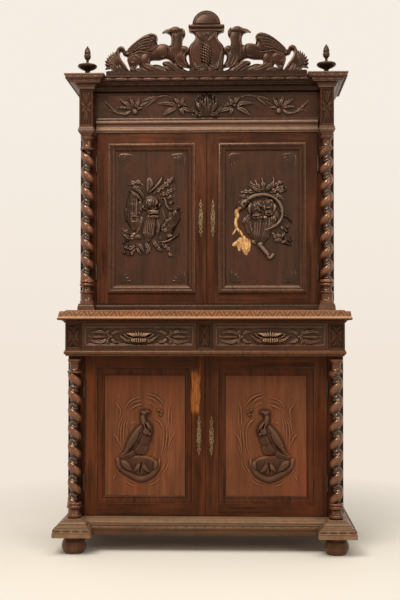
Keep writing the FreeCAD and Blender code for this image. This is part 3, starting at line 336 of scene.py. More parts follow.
drawer_oak = oak("carved_drawer_oak", (0.0155, 0.0055, 0.0028), (0.058, 0.02, 0.0098), (0.28, 0.15, 0.09), "x",
                 dirt_and_shade_colour=(0.0035, 0.0018, 0.0012), rough=(0.2, 0.32), gloss=0.5, patch=pull_wear_and_highlight, rub_and_shading=0.42,
                 edge=(0.2, 0.95), blush=0.6)
block_oak = oak("star_block_oak", (0.022, 0.008, 0.0042), (0.068, 0.0255, 0.0125), (0.18, 0.09, 0.048), rub_and_shading=0.25)
crest_oak = oak("crest_oak", (0.0085, 0.0032, 0.002), (0.034, 0.0122, 0.0068), (0.26, 0.15, 0.1), "x",
                rough=(0.25, 0.33), gloss=0.3, rub_and_shading=0.4, edge=(0.3, 1.0), blush=0.5)
cornice_oak = oak("cornice_oak", (0.02, 0.0082, 0.0055), (0.08, 0.036, 0.0235), (0.25, 0.145, 0.095), "x",
                  rough=(0.22, 0.36), gloss=0.35, dust_and_top_light=0.22, dust_and_top_light_colour=(0.16, 0.09, 0.055))
# The door mouldings and the architrave are paled on up-facing faces mostly as painted top light, for highlights on
# their rolls.
moulding_oak = oak("door_moulding_oak", (0.019, 0.0062, 0.0033), (0.08, 0.028, 0.013), (0.3, 0.15, 0.085),
                   rough=(0.2, 0.34), dust_and_top_light=0.5, dust_and_top_light_colour=(0.32, 0.17, 0.1), gloss=0.42, rub_and_shading=0.8)
architrave_oak = oak("architrave_oak", (0.024, 0.009, 0.0054), (0.075, 0.03, 0.017), (0.38, 0.23, 0.155), "x",
                     dust_and_top_light=0.36, dust_and_top_light_colour=(0.4, 0.25, 0.175), gloss=0.5, rub_and_shading=0.7)
upper_foot_oak = oak("upper_foot_oak", (0.019, 0.0065, 0.0035), (0.078, 0.028, 0.0135), (0.28, 0.15, 0.09), "x",
                     rough=(0.22, 0.34), dust_and_top_light=0.12, dust_and_top_light_colour=(0.2, 0.11, 0.07), gloss=0.3, rub_and_shading=0.35)
turned_oak = oak("turned_oak", (0.032, 0.01, 0.0046), (0.105, 0.034, 0.0145), (0.25, 0.094, 0.04),
                 rough=(0.16, 0.24), gloss=0.85, rub_and_shading=0.7)
waist_oak = oak("waist_oak", (0.1, 0.034, 0.012), (0.24, 0.094, 0.035), (0.42, 0.2, 0.09), "x", patch=ledge_shade_and_lip_highlight,
                dirt_and_shade_colour=(0.03, 0.01, 0.004), dust_and_top_light=0.2, dust_and_top_light_colour=(0.36, 0.2, 0.1))
base_oak = oak("faded_base_oak", (0.064, 0.031, 0.0145), (0.185, 0.1, 0.049), (0.31, 0.19, 0.108), "x",
               dirt_and_shade_colour=(0.014, 0.007, 0.0035), rough=(0.38, 0.55), gloss=0.2, dust_and_top_light=0.3,
               dust_and_top_light_colour=(0.28, 0.185, 0.115), edge=(0.1, 0.8), rub_and_shading=0.6, blush=0.3)
foot_oak = oak("turned_foot_oak", (0.05, 0.021, 0.0105), (0.15, 0.069, 0.034), (0.32, 0.18, 0.1),
               rough=(0.26, 0.4), gloss=0.3)
finial_oak = oak("finial_oak", (0.0125, 0.0055, 0.0035), (0.045, 0.0195, 0.0115), (0.15, 0.08, 0.05),
                 rough=(0.24, 0.36), gloss=0.3)
inner_wood = oak("raw_inner_wood", (0.22, 0.13, 0.07), (0.4, 0.26, 0.155), (0.5, 0.34, 0.2),
                 dirt_and_shade_colour=(0.06, 0.035, 0.02), rough=(0.6, 0.8), gloss=0.2)
old_brass = metal("old_brass", (0.07, 0.044, 0.02), (0.26, 0.175, 0.085), (0.32, 0.55), 0.85)
hinge_brass = metal("dark_hinge_brass", (0.03, 0.02, 0.012), (0.09, 0.06, 0.035), (0.4, 0.6), 0.8)
iron = metal("aged_iron", (0.03, 0.026, 0.024), (0.085, 0.075, 0.068), (0.4, 0.6), 0.8)


# Meshes


def set_down(name, data):
    """A new object in the scene."""
    thing = bpy.data.objects.new(name, data)
    bpy.context.scene.collection.objects.link(thing)
    return thing


def finished(name, points, faces, body, material, replaced, sharp, wear_and_shading, marks=None):
    """A mesh in metres from points in millimetres, riding on its body, with its finish and its marks of wear and of
    painted highlight and shade.
    """
    mesh = bpy.data.meshes.new(name)
    mesh.from_pydata((np.asarray(points, dtype=float) * MM).tolist(), [], faces)
    mesh.materials.append(material)
    mesh.polygons.foreach_set("use_smooth", [True] * len(mesh.polygons))
    mesh.update()
    mesh.set_sharp_from_angle(angle=math.radians(sharp))
    for mark_name, values in {"wear_and_shading": wear_and_shading, **(marks or {})}.items():
        layer = mesh.attributes.new(mark_name, "FLOAT", "POINT")
        layer.data.foreach_set("value", np.asarray(values, dtype=np.float32))
    piece = set_down(name, mesh)
    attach(piece, body)
    if replaced:
        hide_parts(*replaced)


def bend_wear_and_shading(points, faces, gain, passes):
    """Marks for wear and for painted highlight and shade, from how a surface bends: ridges above zero, hollows below.
    """
    points = np.asarray(points, dtype=float)
    normals = np.zeros_like(points)
    for corners in (3, 4):
        group = np.array([face for face in faces if len(face) == corners])
        if len(group) == 0:
            continue
        across = np.cross(points[group[:, 1]] - points[group[:, 0]], points[group[:, -1]] - points[group[:, 0]])
        for corner in range(corners):
            np.add.at(normals, group[:, corner], across)
    normals /= np.maximum(np.linalg.norm(normals, axis=1, keepdims=True), 1e-9)
    pairs = np.array([(a, face[(index + 1) % len(face)]) for face in faces for index, a in enumerate(face)])
    step = points[pairs[:, 1]] - points[pairs[:, 0]]
    length = np.maximum(np.linalg.norm(step, axis=1), 1e-6)
    bend = np.zeros(len(points))
    count = np.zeros(len(points))
    lean = -np.einsum("ij,ij->i", step, normals[pairs[:, 0]]) / length
    np.add.at(bend, pairs[:, 0], lean)
    np.add.at(count, pairs[:, 0], 1)
    bend /= np.maximum(count, 1)
    for _ in range(passes):
        total = bend.copy()
        seen = np.ones(len(points))
        np.add.at(total, pairs[:, 0], bend[pairs[:, 1]])
        np.add.at(seen, pairs[:, 0], 1)
        bend = total / seen
    return np.clip(bend * gain, -1, 1)


def blurred(field, reach):
    """A field averaged over a square of reach cells each way."""
    out = field
    for axis in (0, 1):
        pad = [(0, 0), (0, 0)]
        pad[axis] = (reach + 1, reach)
        total = np.cumsum(np.pad(out, pad, mode="edge"), axis=axis)
        size = 2 * reach + 1
        upper = np.take(total, range(size, total.shape[axis]), axis=axis)
        lower = np.take(total, range(0, total.shape[axis] - size), axis=axis)
        out = (upper - lower) / size
    return out


def smooth_line(points, steps=8):
    """A smooth line through the drawn points."""
    points = np.asarray(points, dtype=float)
    if len(points) < 3:
        share = np.linspace(0, 1, steps + 1)[:, None]
        return points[0] + share * (points[-1] - points[0])
    padded = np.vstack([2 * points[0] - points[1], points, 2 * points[-1] - points[-2]])
    line = []
    for k in range(1, len(padded) - 2):
        a, b, c, d = padded[k - 1:k + 3]
        for share in np.linspace(0, 1, steps, endpoint=False):
            line.append(0.5 * (2 * b + (c - a) * share + (2 * a - 5 * b + 4 * c - d) * share ** 2
                               + (3 * b - a - 3 * c + d) * share ** 3))
    line.append(points[-1])
    return np.array(line)


class Carving:
    """A carved field: heights in millimetres over a grid across and up, drawn from a pattern sheet.

    The sheet's points are turned into millimetres by its scale and by where its corner lies."""

    def __init__(self, left, right, low, high, cell, sheet=(1.0, 0.0, 0.0), flip=1):
        self.x = np.linspace(left, right, max(2, round((right - left) / cell) + 1))
        self.z = np.linspace(low, high, max(2, round((high - low) / cell) + 1))
        self.across, self.up = np.meshgrid(self.x, self.z)
        self.height = np.zeros(self.across.shape)
        self.bare = np.zeros(self.across.shape)
        self.sheet = sheet
        self.flip = flip

    def placed(self, points):
        """Points of the sheet in millimetres."""
        scale, left, top = self.sheet
        return [(self.flip * (left + scale * x), top - scale * z) for x, z in points]

    def follow(self, points, reach, steps=8):
        """The window a smooth line lies in, and there each point's share along it and signed distance off it."""
        line = smooth_line(self.placed(points), steps)
        low, high = line.min(0) - reach, line.max(0) + reach
        i0, i1 = np.searchsorted(self.x, (low[0], high[0]))
        j0, j1 = np.searchsorted(self.z, (low[1], high[1]))
        window = (slice(j0, j1), slice(i0, i1))
        x, z = self.across[window], self.up[window]
        best = np.full(x.shape, 1e9)
        share = np.zeros(x.shape)
        side = np.zeros(x.shape)
        spans = np.linalg.norm(np.diff(line, axis=0), axis=1)
        starts = np.concatenate([[0], np.cumsum(spans)])
        total = max(starts[-1], 1e-6)
        for k, span in enumerate(spans):
            if span < 1e-9:
                continue
            ax, az = line[k]
            dx, dz = (line[k + 1] - line[k]) / span
            t = np.clip((x - ax) * dx + (z - az) * dz, 0, span)
            ox, oz = x - ax - t * dx, z - az - t * dz
            gap = np.hypot(ox, oz)
            near = gap < best
            best[near] = gap[near]
            share[near] = ((starts[k] + t) / total)[near]
            side[near] = np.where(dx * oz - dz * ox < 0, -gap, gap)[near]
        return window, share, side

    def raise_to(self, window, height, where):
        """Lifts the field to a height, but never lowers it."""
        field = self.height[window]
        field[where] = np.maximum(field[where], height[where])

    def rod(self, points, width, height, ends=(1.0, 1.0), base=0.0, round_share=0.5):
        """A round strand along a line, tapered towards either end."""
        window, share, side = self.follow(points, width)
        wide = width * (ends[0] + (1 - ends[0]) * np.minimum(1, share * 4))
        wide = wide * (ends[1] + (1 - ends[1]) * np.minimum(1, (1 - share) * 4))
        off = np.abs(side) / np.maximum(wide, 1e-6)
        where = off < 1
        lift = base + height * (wide / width) * np.clip(1 - off ** 2, 0, 1) ** round_share
        self.raise_to(window, lift, where)

    def leaf(self, points, width, height, lobes=0, base=0.0, rib=0.25, veins=0, blunt=0.75):
        """A leaf along a line: pointed, with a midrib and perhaps lobed edges and veins."""
        window, share, side = self.follow(points, width * 1.1)
        wide = width * np.sin(np.pi * np.clip(share, 0, 1) ** blunt) ** 0.8
        if lobes:
            wide = wide * (0.78 + 0.3 * np.cos(2 * np.pi * lobes * share))
        off = side / np.maximum(wide, 1e-6)
        where = (np.abs(off) < 1) & (wide > 0.2)
        lift = height * (0.45 + 0.55 * np.sin(np.pi * np.clip(share, 0, 1) ** 0.9))
        lift = lift * np.clip(1 - np.abs(off) ** 2.4, 0, 1) ** 0.5
        lift = lift - rib * height * np.exp(-(side / (0.1 * width + 0.5)) ** 2)
        if veins:
            lift = lift + 0.1 * height * np.cos(2 * np.pi * (veins * share - 0.8 * np.abs(off)))
        self.raise_to(window, base + lift, where)

    def lump(self, x, z, wide, tall, height, turn=0.0, base=0.0):
        """A rounded lump, turned by degrees."""
        cx, cz = self.placed([(x, z)])[0]
        a = math.radians(turn) * self.flip
        dx, dz = self.across - cx, self.up - cz
        u = (dx * math.cos(a) + dz * math.sin(a)) / wide
        v = (dz * math.cos(a) - dx * math.sin(a)) / tall
        off = u * u + v * v
        where = off < 1
        self.height[where] = np.maximum(self.height[where], (base + height * np.sqrt(np.clip(1 - off, 0, 1)))[where])

    def groove(self, points, width, depth):
        """A V cut along a line."""
        window, share, side = self.follow(points, width)
        off = np.abs(side) / width
        self.height[window] -= depth * np.clip(1 - off, 0, 1) * np.minimum(1, 8 * np.minimum(share, 1 - share) + 0.25)

    def wear_and_shading(self, gain=0.55, fine=2, wide=6):
        """Marks from the heights: rubbed and painted as highlight where proud, dirty and painted as shade where sunk.
        """
        field = self.height
        return np.clip(gain * (field - blurred(field, fine)) + 0.35 * gain * (field - blurred(field, wide)), -1, 1)

    def marked(self, values):
        """A mark for each point of the board: the field's values, and nothing at the back's corners."""
        return np.concatenate([values.ravel(), np.zeros(4)])

    def board(self, face, back, wear_and_shading_gain):
        """Points, faces and marks of wear and shading of the whole field as a closed board: carved front, plain edges
        and back.
        """
        rows, columns = self.height.shape
        count = rows * columns
        points = np.stack([self.across, face - self.height, self.up], axis=-1).reshape(-1, 3)
        index = np.arange(count).reshape(rows, columns)
        quads = np.stack([index[:-1, :-1], index[:-1, 1:], index[1:, 1:], index[1:, :-1]], axis=-1)
        faces = quads.reshape(-1, 4).tolist()
        left, right, low, high = self.x[0], self.x[-1], self.z[0], self.z[-1]
        points = np.vstack([points, [(left, back, low), (right, back, low), (right, back, high), (left, back, high)]])
        a, b, c, d = range(count, count + 4)
        faces.append([*index[0, ::-1].tolist(), a, b])
        faces.append([*index[::-1, -1].tolist(), b, c])
        faces.append([*index[-1, :].tolist(), c, d])
        faces.append([*index[:, 0].tolist(), d, a])
        faces.append([d, c, b, a])
        return points, faces, self.marked(self.wear_and_shading(wear_and_shading_gain))

    def pierced(self, inside, face, back, wear_and_shading_gain):
        """The field cut out where inside is below zero, as a closed plate with its edge on the drawn outline."""
        rub_and_shading = self.wear_and_shading(wear_and_shading_gain)
        points, marks, seen = [], [], {}

        def corner(j, i):
            if (j, i) not in seen:
                seen[j, i] = len(points)
                points.append((self.x[i], face - self.height[j, i], self.z[j]))
                marks.append(rub_and_shading[j, i])
            return seen[j, i]
        def crossing(j0, i0, j1, i1):
            key = (j0, i0, j1, i1) if (j0, i0) < (j1, i1) else (j1, i1, j0, i0)
            if key not in seen:
                j0, i0, j1, i1 = key
                a, b = inside[j0, i0], inside[j1, i1]
                share = min(0.97, max(0.03, a / (a - b)))
                lift = self.height[j0, i0] if a < 0 else self.height[j1, i1]
                seen[key] = len(points)
                points.append((self.x[i0] + share * (self.x[i1] - self.x[i0]), face - lift,
                               self.z[j0] + share * (self.z[j1] - self.z[j0])))
                marks.append(rub_and_shading[j0, i0])
            return seen[key]

        fronts, rims = [], []
        signs = inside < 0
        busy = signs[:-1, :-1] | signs[:-1, 1:] | signs[1:, 1:] | signs[1:, :-1]
        for j, i in zip(*np.nonzero(busy)):
            ring = [(j, i), (j, i + 1), (j + 1, i + 1), (j + 1, i)]
            made, cuts = [], []
            for k in range(4):
                (ja, ia), (jb, ib) = ring[k], ring[(k + 1) % 4]
                if signs[ja, ia]:
                    made.append(corner(ja, ia))
                if signs[ja, ia] != signs[jb, ib]:
                    cut = crossing(ja, ia, jb, ib)
                    cuts.append((cut, signs[ja, ia]))
                    made.append(cut)
            fronts.append(made)
            for k, (cut, leaving) in enumerate(cuts):
                if leaving:
                    rims.append((cut, cuts[(k + 1) % len(cuts)][0]))
        count = len(points)
        backs = [(x, back, z) for x, _, z in points]
        faces = fronts + [[v + count for v in reversed(front)] for front in fronts]
        faces += [[b, a, a + count, b + count] for a, b in rims]
        return points + backs, faces, marks + [0.0] * count


def outline_distance(carving, outline):
    """Signed distance to a closed outline, below zero inside."""
    points = np.array(carving.placed(outline))
    x, z = carving.across, carving.up
    best = np.full(x.shape, 1e9)
    inside = np.zeros(x.shape, dtype=bool)
    for (ax, az), (bx, bz) in zip(points, np.roll(points, -1, axis=0)):
        dx, dz = bx - ax, bz - az
        t = np.clip(((x - ax) * dx + (z - az) * dz) / max(dx * dx + dz * dz, 1e-9), 0, 1)
        best = np.minimum(best, np.hypot(x - ax - t * dx, z - az - t * dz))
        spans = (az > z) != (bz > z)
        with np.errstate(divide="ignore", invalid="ignore"):
            hit = x < ax + (z - az) * dx / (dz if dz else 1e-12)
        inside ^= spans & hit
    return np.where(inside, -best, best)


def lathe(profile, x, y, steps=40):
    """Points and faces of a turning about an upright axis, from (radius, height) pairs."""
    points, faces = [], []
    ring_start = []
    for radius, z in profile:
        ring_start.append(len(points))
        if radius < 1e-6:
            points.append((x, y, z))
            continue
        for k in range(steps):
            turn = 2 * math.pi * k / steps
            points.append((x + radius * math.cos(turn), y + radius * math.sin(turn), z))
    for row in range(len(profile) - 1):
        a, b = ring_start[row], ring_start[row + 1]
        low_pole, high_pole = profile[row][0] < 1e-6, profile[row + 1][0] < 1e-6
        for k in range(steps):
            n = (k + 1) % steps
            if low_pole:
                faces.append([a, b + n, b + k])
            elif high_pole:
                faces.append([a + k, a + n, b])
            else:
                faces.append([a + k, a + n, b + n, b + k])
    if profile[0][0] > 1e-6:
        faces.append([ring_start[0] + k for k in reversed(range(steps))])
    if profile[-1][0] > 1e-6:
        faces.append([ring_start[-1] + k for k in range(steps)])
    return points, faces


def swelling(z0, z1, inner, outer, steps=8, power=0.5):
    """A rounded ring's profile between two heights."""
    rows = []
    for k in range(steps + 1):
        share = -1 + 2 * k / steps
        rows.append((inner + (outer - inner) * max(0.0, 1 - share * share) ** power, z0 + (z1 - z0) * k / steps))
    return rows


def joined(*parts):
    """Several (points, faces) as one."""
    points, faces = [], []
    for more_points, more_faces in parts:
        start = len(points)
        points += [tuple(point) for point in more_points]
        faces += [[v + start for v in face] for face in more_faces]
    return points, faces
def joined_with_marks(*parts):
    """Several (points, faces, marks of wear and shading) as one."""
    points, faces = joined(*[part[:2] for part in parts])
    return points, faces, np.concatenate([part[2] for part in parts])


def moulded(name, part, finish, replaced, sharp, gain, passes=0):
    """A piece of the carcass whose marks of wear and painted shading come from how its surface bends."""
    points, faces = part
    finished(name, points, faces, "carcass", finish, replaced, sharp, bend_wear_and_shading(points, faces, gain, passes))


# Camera, light and room


def make_camera():
    """The view of the photo, as fitted to the buffet's corners in it."""
    data = bpy.data.cameras.new("camera")
    data.sensor_width = 36.0
    data.lens = 57.26
    data.shift_x = -0.0257
    data.shift_y = 0.0138
    camera = set_down("camera", data)
    camera.location = (0.1669, -4.3964, 1.0013)
    camera.rotation_euler = (math.radians(90) + 0.0171, 0, 0.0287)
    bpy.context.scene.camera = camera


def make_lamp(name, place, aim_height, size, watts, colour=(1, 1, 1)):
    """An oblong lamp aimed at a height over the middle of the floor."""
    data = bpy.data.lights.new(name, "AREA")
    data.shape = "RECTANGLE"
    data.size, data.size_y = size
    data.energy = watts
    data.color = colour
    lamp = set_down(name, data)
    lamp.location = place
    lamp.rotation_euler = (Vector((0, 0, aim_height)) - Vector(place)).to_track_quat("-Z", "Y").to_euler()


def seen_rays(tree):
    """One for a ray that shows what it meets: straight from the camera, reflected or let through."""
    path = new_node(tree, "ShaderNodeLightPath")
    return worked(tree, "MAXIMUM", path.outputs["Is Camera Ray"],
                  worked(tree, "MAXIMUM", path.outputs["Is Glossy Ray"], path.outputs["Is Transmission Ray"]))


def mixed_surface(tree, share, first, second, output):
    """Two shaders mixed by a share, as the surface of the named output."""
    mixed = tree.nodes.new("ShaderNodeMixShader")
    for value, socket in zip((share, first.outputs[0], second.outputs[0]), mixed.inputs):
        tree.links.new(value, socket)
    tree.links.new(mixed.outputs[0], tree.nodes[output].inputs["Surface"])


def make_walls():
    """The warm pale room round the buffet, seen brighter than it lights."""
    world = bpy.data.worlds.new("room_light")
    world.use_nodes = True
    tree = world.node_tree
    place = new_node(tree, "ShaderNodeTexCoord")
    up = new_node(tree, "ShaderNodeSeparateXYZ", Vector=place.outputs["Generated"]).outputs["Z"]
    light = tree.nodes["Background"]
    light.inputs["Color"].default_value = (1.0, 0.975, 0.95, 1)
    tree.links.new(spread(tree, up, -0.1, 0.7, 0.28, 0.66), light.inputs["Strength"])
    seen = new_node(tree, "ShaderNodeBackground",
                    Color=blended(tree, spread(tree, up, -0.05, 0.22), room_low, room_high))
    mixed_surface(tree, seen_rays(tree), light, seen, "World Output")
    bpy.context.scene.world = world


def make_floor(steps=64, reach=40.0):
    """A floor that keeps the shadow and fades into the pale room round it."""
    turns = [2 * math.pi * k / steps for k in range(steps)]
    points = [(0, 0, 0)] + [(reach * math.cos(turn), reach * math.sin(turn), 0) for turn in turns]
    mesh = bpy.data.meshes.new("floor")
    mesh.from_pydata(points, [], [[0, 1 + k, 1 + (k + 1) % steps] for k in range(steps)])
    material, tree, shader = shader_tree("floor_paint")
    clouds = placed_noise(tree, (1, 1, 1), 0.8, 2.0)
    colour = blended(tree, spread(tree, clouds, 0.3, 0.7), (0.76, 0.7, 0.59), (0.79, 0.73, 0.63))
    tree.links.new(colour, shader.inputs["Base Color"])
    shader.inputs["Roughness"].default_value = 0.85
    shader.inputs["Specular IOR Level"].default_value = 0.1
    place = new_node(tree, "ShaderNodeTexCoord")
    length = tree.nodes.new("ShaderNodeVectorMath")
    length.operation = "LENGTH"
    tree.links.new(place.outputs["Object"], length.inputs[0])
    far = worked(tree, "MULTIPLY", spread(tree, length.outputs["Value"], 0.75, 2.1), seen_rays(tree))
    glow = new_node(tree, "ShaderNodeEmission", Color=(*room_low, 1))
    mixed_surface(tree, far, shader, glow, "Material Output")
    mesh.materials.append(material)
    floor = set_down("floor", mesh)


room_low = (0.88, 0.79, 0.69)
room_high = (0.92, 0.85, 0.77)
bpy.context.scene.view_settings.view_transform = "Standard"
make_camera()
make_walls()
make_floor()
make_lamp("key_lamp", (-1.3, -3.0, 4.3), 1.2, (2.2, 1.1), 150, (1.0, 0.96, 0.91))
make_lamp("fill_lamp", (2.6, -3.4, 2.6), 1.2, (1.2, 1.8), 34, (1.0, 0.97, 0.94))
make_lamp("top_lamp", (0.6, -1.5, 4.5), 1.4, (2.6, 1.0), 45)


# Finishes of the plain boards

node_finish = {
    "base_mouldings": base_oak, "base_frame": inner_wood, "bottom_boards": inner_wood, "case_sides": case_oak,
    "back_boards": inner_wood, "face_frames": case_oak, "shelves": inner_wood, "top_board": inner_wood,
    "drawer_floor": inner_wood, "drawer_guides": inner_wood, "drawer_rail_moulding": rail_oak,
    "drawer_row_blocks": case_oak, "column_capitals": case_oak_across, "waist_board": waist_oak,
    "upper_base_moulding": case_oak_across, "architrave": architrave_oak, "frieze_board": case_oak_across,
    "frieze_blocks": case_oak, "frieze_carving": carved_oak, "cornice": case_oak_across, "finials": turned_oak,
    "crest_rail": crest_oak, "crest_plaque": crest_oak, "crest_griffins": crest_oak,
    "case_hinge_halves": hinge_brass, "lower_lock_case": iron, "upper_lock_case": iron, "lower_lock_bolt": iron,
    "upper_lock_bolt": iron, "bun_feet": foot_oak,
}
for side in ("left", "right"):
    node_finish[f"lower_{side}_column"] = turned_oak
    node_finish[f"upper_{side}_column"] = turned_oak
    node_finish[f"lower_{side}_door_frame"] = lower_left_oak if side == "left" else lower_oak
    node_finish[f"lower_{side}_door_panel"] = bird_oak
    node_finish[f"lower_{side}_door_carving"] = carved_oak
    node_finish[f"upper_{side}_door_frame"] = upper_door_oak
    node_finish[f"upper_{side}_door_panel"] = trophy_oak
    node_finish[f"upper_{side}_door_carving"] = trophy_oak
    node_finish[f"{side}_drawer_box"] = inner_wood
    node_finish[f"{side}_drawer_front"] = case_oak_across
    node_finish[f"{side}_drawer_pull"] = carved_oak
    for level in ("lower", "upper"):
        node_finish[f"{level}_{side}_door_escutcheon"] = old_brass
        node_finish[f"{level}_{side}_door_hinge_halves"] = hinge_brass
for node_name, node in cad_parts.items():
    node.data.materials.clear()
    node.data.materials.append(node_finish[node_name])


# Repeats grown by rule


def blank_tree(name, **inputs):
    """A Geometry Nodes tree that takes numbers, with their first values, and a finish."""
    tree = bpy.data.node_groups.new(name, "GeometryNodeTree")
    tree.interface.new_socket("Geometry", in_out="INPUT", socket_type="NodeSocketGeometry")
    for label, value in inputs.items():
        kind = "NodeSocketInt" if isinstance(value, int) else "NodeSocketFloat"
        tree.interface.new_socket(label, in_out="INPUT", socket_type=kind).default_value = value
    tree.interface.new_socket("Finish", in_out="INPUT", socket_type="NodeSocketMaterial")
    tree.interface.new_socket("Geometry", in_out="OUTPUT", socket_type="NodeSocketGeometry")
    return tree, tree.nodes.new("NodeGroupInput"), tree.nodes.new("NodeGroupOutput")


def finish_tree(tree, geometry, given, result):
    """Ends a tree: instances made real, and the material set."""
    real = new_node(tree, "GeometryNodeRealizeInstances", Geometry=geometry)
    painted = new_node(tree, "GeometryNodeSetMaterial", Geometry=real.outputs[0], Material=given.outputs["Finish"])
    tree.links.new(painted.outputs[0], result.inputs[0])
    return tree


def twist_tree():
    """One rope wound round an axis, with a thin fillet strand in its hollow."""
    tree, given, result = blank_tree("column_twist", Length=600.0, Radius=29.0, Depth=11.0, Pitch=79.0, Hand=1.0,
                                     Start=0.0, Around=56, Along=200)
    post = new_node(tree, "GeometryNodeMeshCylinder", Radius=1.0, Vertices=given.outputs["Around"],
                    Side_Segments=given.outputs["Along"], Depth=given.outputs["Length"])
    place = new_node(tree, "GeometryNodeInputPosition")
    axes = new_node(tree, "ShaderNodeSeparateXYZ", Vector=place.outputs[0]).outputs
    turn = worked(tree, "DIVIDE", worked(tree, "ARCTAN2", axes["Y"], axes["X"]), 2 * math.pi)
    turn = worked(tree, "MULTIPLY", turn, given.outputs["Hand"])
    climb = worked(tree, "DIVIDE", axes["Z"], given.outputs["Pitch"])
    phase = worked(tree, "ADD", worked(tree, "ADD", turn, climb), given.outputs["Start"])
    shape = new_node(tree, "ShaderNodeFloatCurve", Value=worked(tree, "FRACT", phase))
    curve = shape.mapping.curves[0]
    rope = [(0.03, 0.36), (0.08, 0.62), (0.15, 0.84), (0.24, 0.965), (0.32, 1.0), (0.4, 0.965), (0.49, 0.84),
            (0.56, 0.62), (0.61, 0.36), (0.64, 0.12), (0.68, 0.02), (0.79, 0.02), (0.81, 0.1), (0.825, 0.22),
            (0.84, 0.26), (0.855, 0.22), (0.87, 0.1), (0.89, 0.02), (0.97, 0.02)]
    curve.points[0].location = (0.0, 0.12)
    curve.points[1].location = (1.0, 0.12)
    for at in rope:
        curve.points.new(*at)
    shape.mapping.update()
    sunk = worked(tree, "MULTIPLY", worked(tree, "SUBTRACT", 1.0, shape.outputs[0]), given.outputs["Depth"])
    radius = worked(tree, "SUBTRACT", given.outputs["Radius"], sunk)
    made = new_node(tree, "ShaderNodeCombineXYZ", X=worked(tree, "MULTIPLY", axes["X"], radius),
                    Y=worked(tree, "MULTIPLY", axes["Y"], radius), Z=axes["Z"])
    moved = new_node(tree, "GeometryNodeSetPosition", Geometry=post.outputs["Mesh"], Position=made.outputs[0])
    return finish_tree(tree, moved.outputs[0], given, result)


def lobe_tree():
    """Carved lobes in a row along a line."""
    tree, given, result = blank_tree("carved_lobes", Spacing=65.0, Length=60.0, Stand=5.0, Height=16.0)
    dots = tree.nodes.new("GeometryNodeCurveToPoints")
    dots.mode = "LENGTH"
    tree.links.new(given.outputs["Geometry"], dots.inputs["Curve"])
    tree.links.new(given.outputs["Spacing"], dots.inputs["Length"])
    lobe = new_node(tree, "GeometryNodeMeshUVSphere", Segments=14, Rings=8, Radius=0.5)
    size = new_node(tree, "ShaderNodeCombineXYZ", X=given.outputs["Length"],
                    Y=worked(tree, "MULTIPLY", given.outputs["Stand"], 2.0), Z=given.outputs["Height"])
    facing = new_node(tree, "FunctionNodeAlignRotationToVector", Vector=dots.outputs["Tangent"])
    facing.axis = "X"
    facing.pivot_axis = "Z"
    planted = new_node(tree, "GeometryNodeInstanceOnPoints", Points=dots.outputs["Points"],
                       Instance=lobe.outputs["Mesh"], Rotation=facing.outputs[0], Scale=size.outputs[0])
    return finish_tree(tree, planted.outputs[0], given, result)


def grown(tree, values, line=None):
    """The tree's result as plain points and faces."""
    if line is None:
        data = bpy.data.meshes.new("seed")
    else:
        data = bpy.data.curves.new("seed", "CURVE")
        data.dimensions = "3D"
        spline = data.splines.new("POLY")
        spline.points.add(len(line) - 1)
        for point, place in zip(spline.points, line):
            point.co = (*place, 1.0)
    holder = set_down("seed", data)
    modifier = holder.modifiers.new("grow", "NODES")
    modifier.node_group = tree
    for item in tree.interface.items_tree:
        if item.in_out == "INPUT" and item.name in values:
            modifier[item.identifier] = values[item.name]
    bpy.context.view_layer.update()
    made = holder.evaluated_get(bpy.context.evaluated_depsgraph_get())
    mesh = bpy.data.meshes.new_from_object(made)
    points = [tuple(vertex.co) for vertex in mesh.vertices]
    faces = [list(face.vertices) for face in mesh.polygons]
    bpy.data.objects.remove(holder)
    bpy.data.meshes.remove(mesh)
    return points, faces


def shifted(part, x=0.0, y=0.0, z=0.0):
    """A part's points and faces, moved."""
    return [(a + x, b + y, c + z) for a, b, c in part[0]], part[1]


# Columns, feet and finials

TWIST = twist_tree()
LOBES = lobe_tree()


def make_column(name, x, y, foot, neck, low, high, hand):
    """A twisted column between its turned foot and neck."""
    twist = grown(TWIST, {"Length": high - low, "Radius": 29.8, "Depth": 14.0, "Pitch": 79.0,
                          "Hand": float(hand), "Start": 0.3, "Around": 56, "Along": int((high - low) / 3.4),
                          "Finish": turned_oak})
    twist = shifted(twist, x, y, (low + high) / 2)
    points, faces = joined(twist, lathe(foot, x, y), lathe(neck, x, y))
    rub_and_shading = bend_wear_and_shading(points, faces, 2.2, 1)
    points = np.asarray(points)
    out = np.hypot(points[:, 0] - x, points[:, 1] - y)
    twisted = (points[:, 2] > low + 2) & (points[:, 2] < high - 2)
    # On the twist the marks follow the radius: crests paled as rubbed wear and painted highlight, hollows darkened as
    # painted shade.
    rub_and_shading[twisted] = np.clip((out[twisted] - 26.0) / 6.5, -1, 0.85)
    finished(name, points, faces, "carcass", turned_oak, [name], 50.0, rub_and_shading)


def neck_profile(z):
    """The turned neck over a twist, from its collar up to the capital."""
    rows = [(0, z - 2), (31, z - 2), (31.5, z)] + swelling(z, z + 7, 29, 33.5)
    rows += [(27, z + 7.5), (23.5, z + 11), (21.5, z + 16), (21, z + 24), (21.8, z + 38), (23, z + 42)]
    rows += swelling(z + 42.5, z + 48, 24, 28.5, 6) + [(29.5, z + 49), (30, z + 53), (31, z + 58), (0, z + 58)]
    return rows


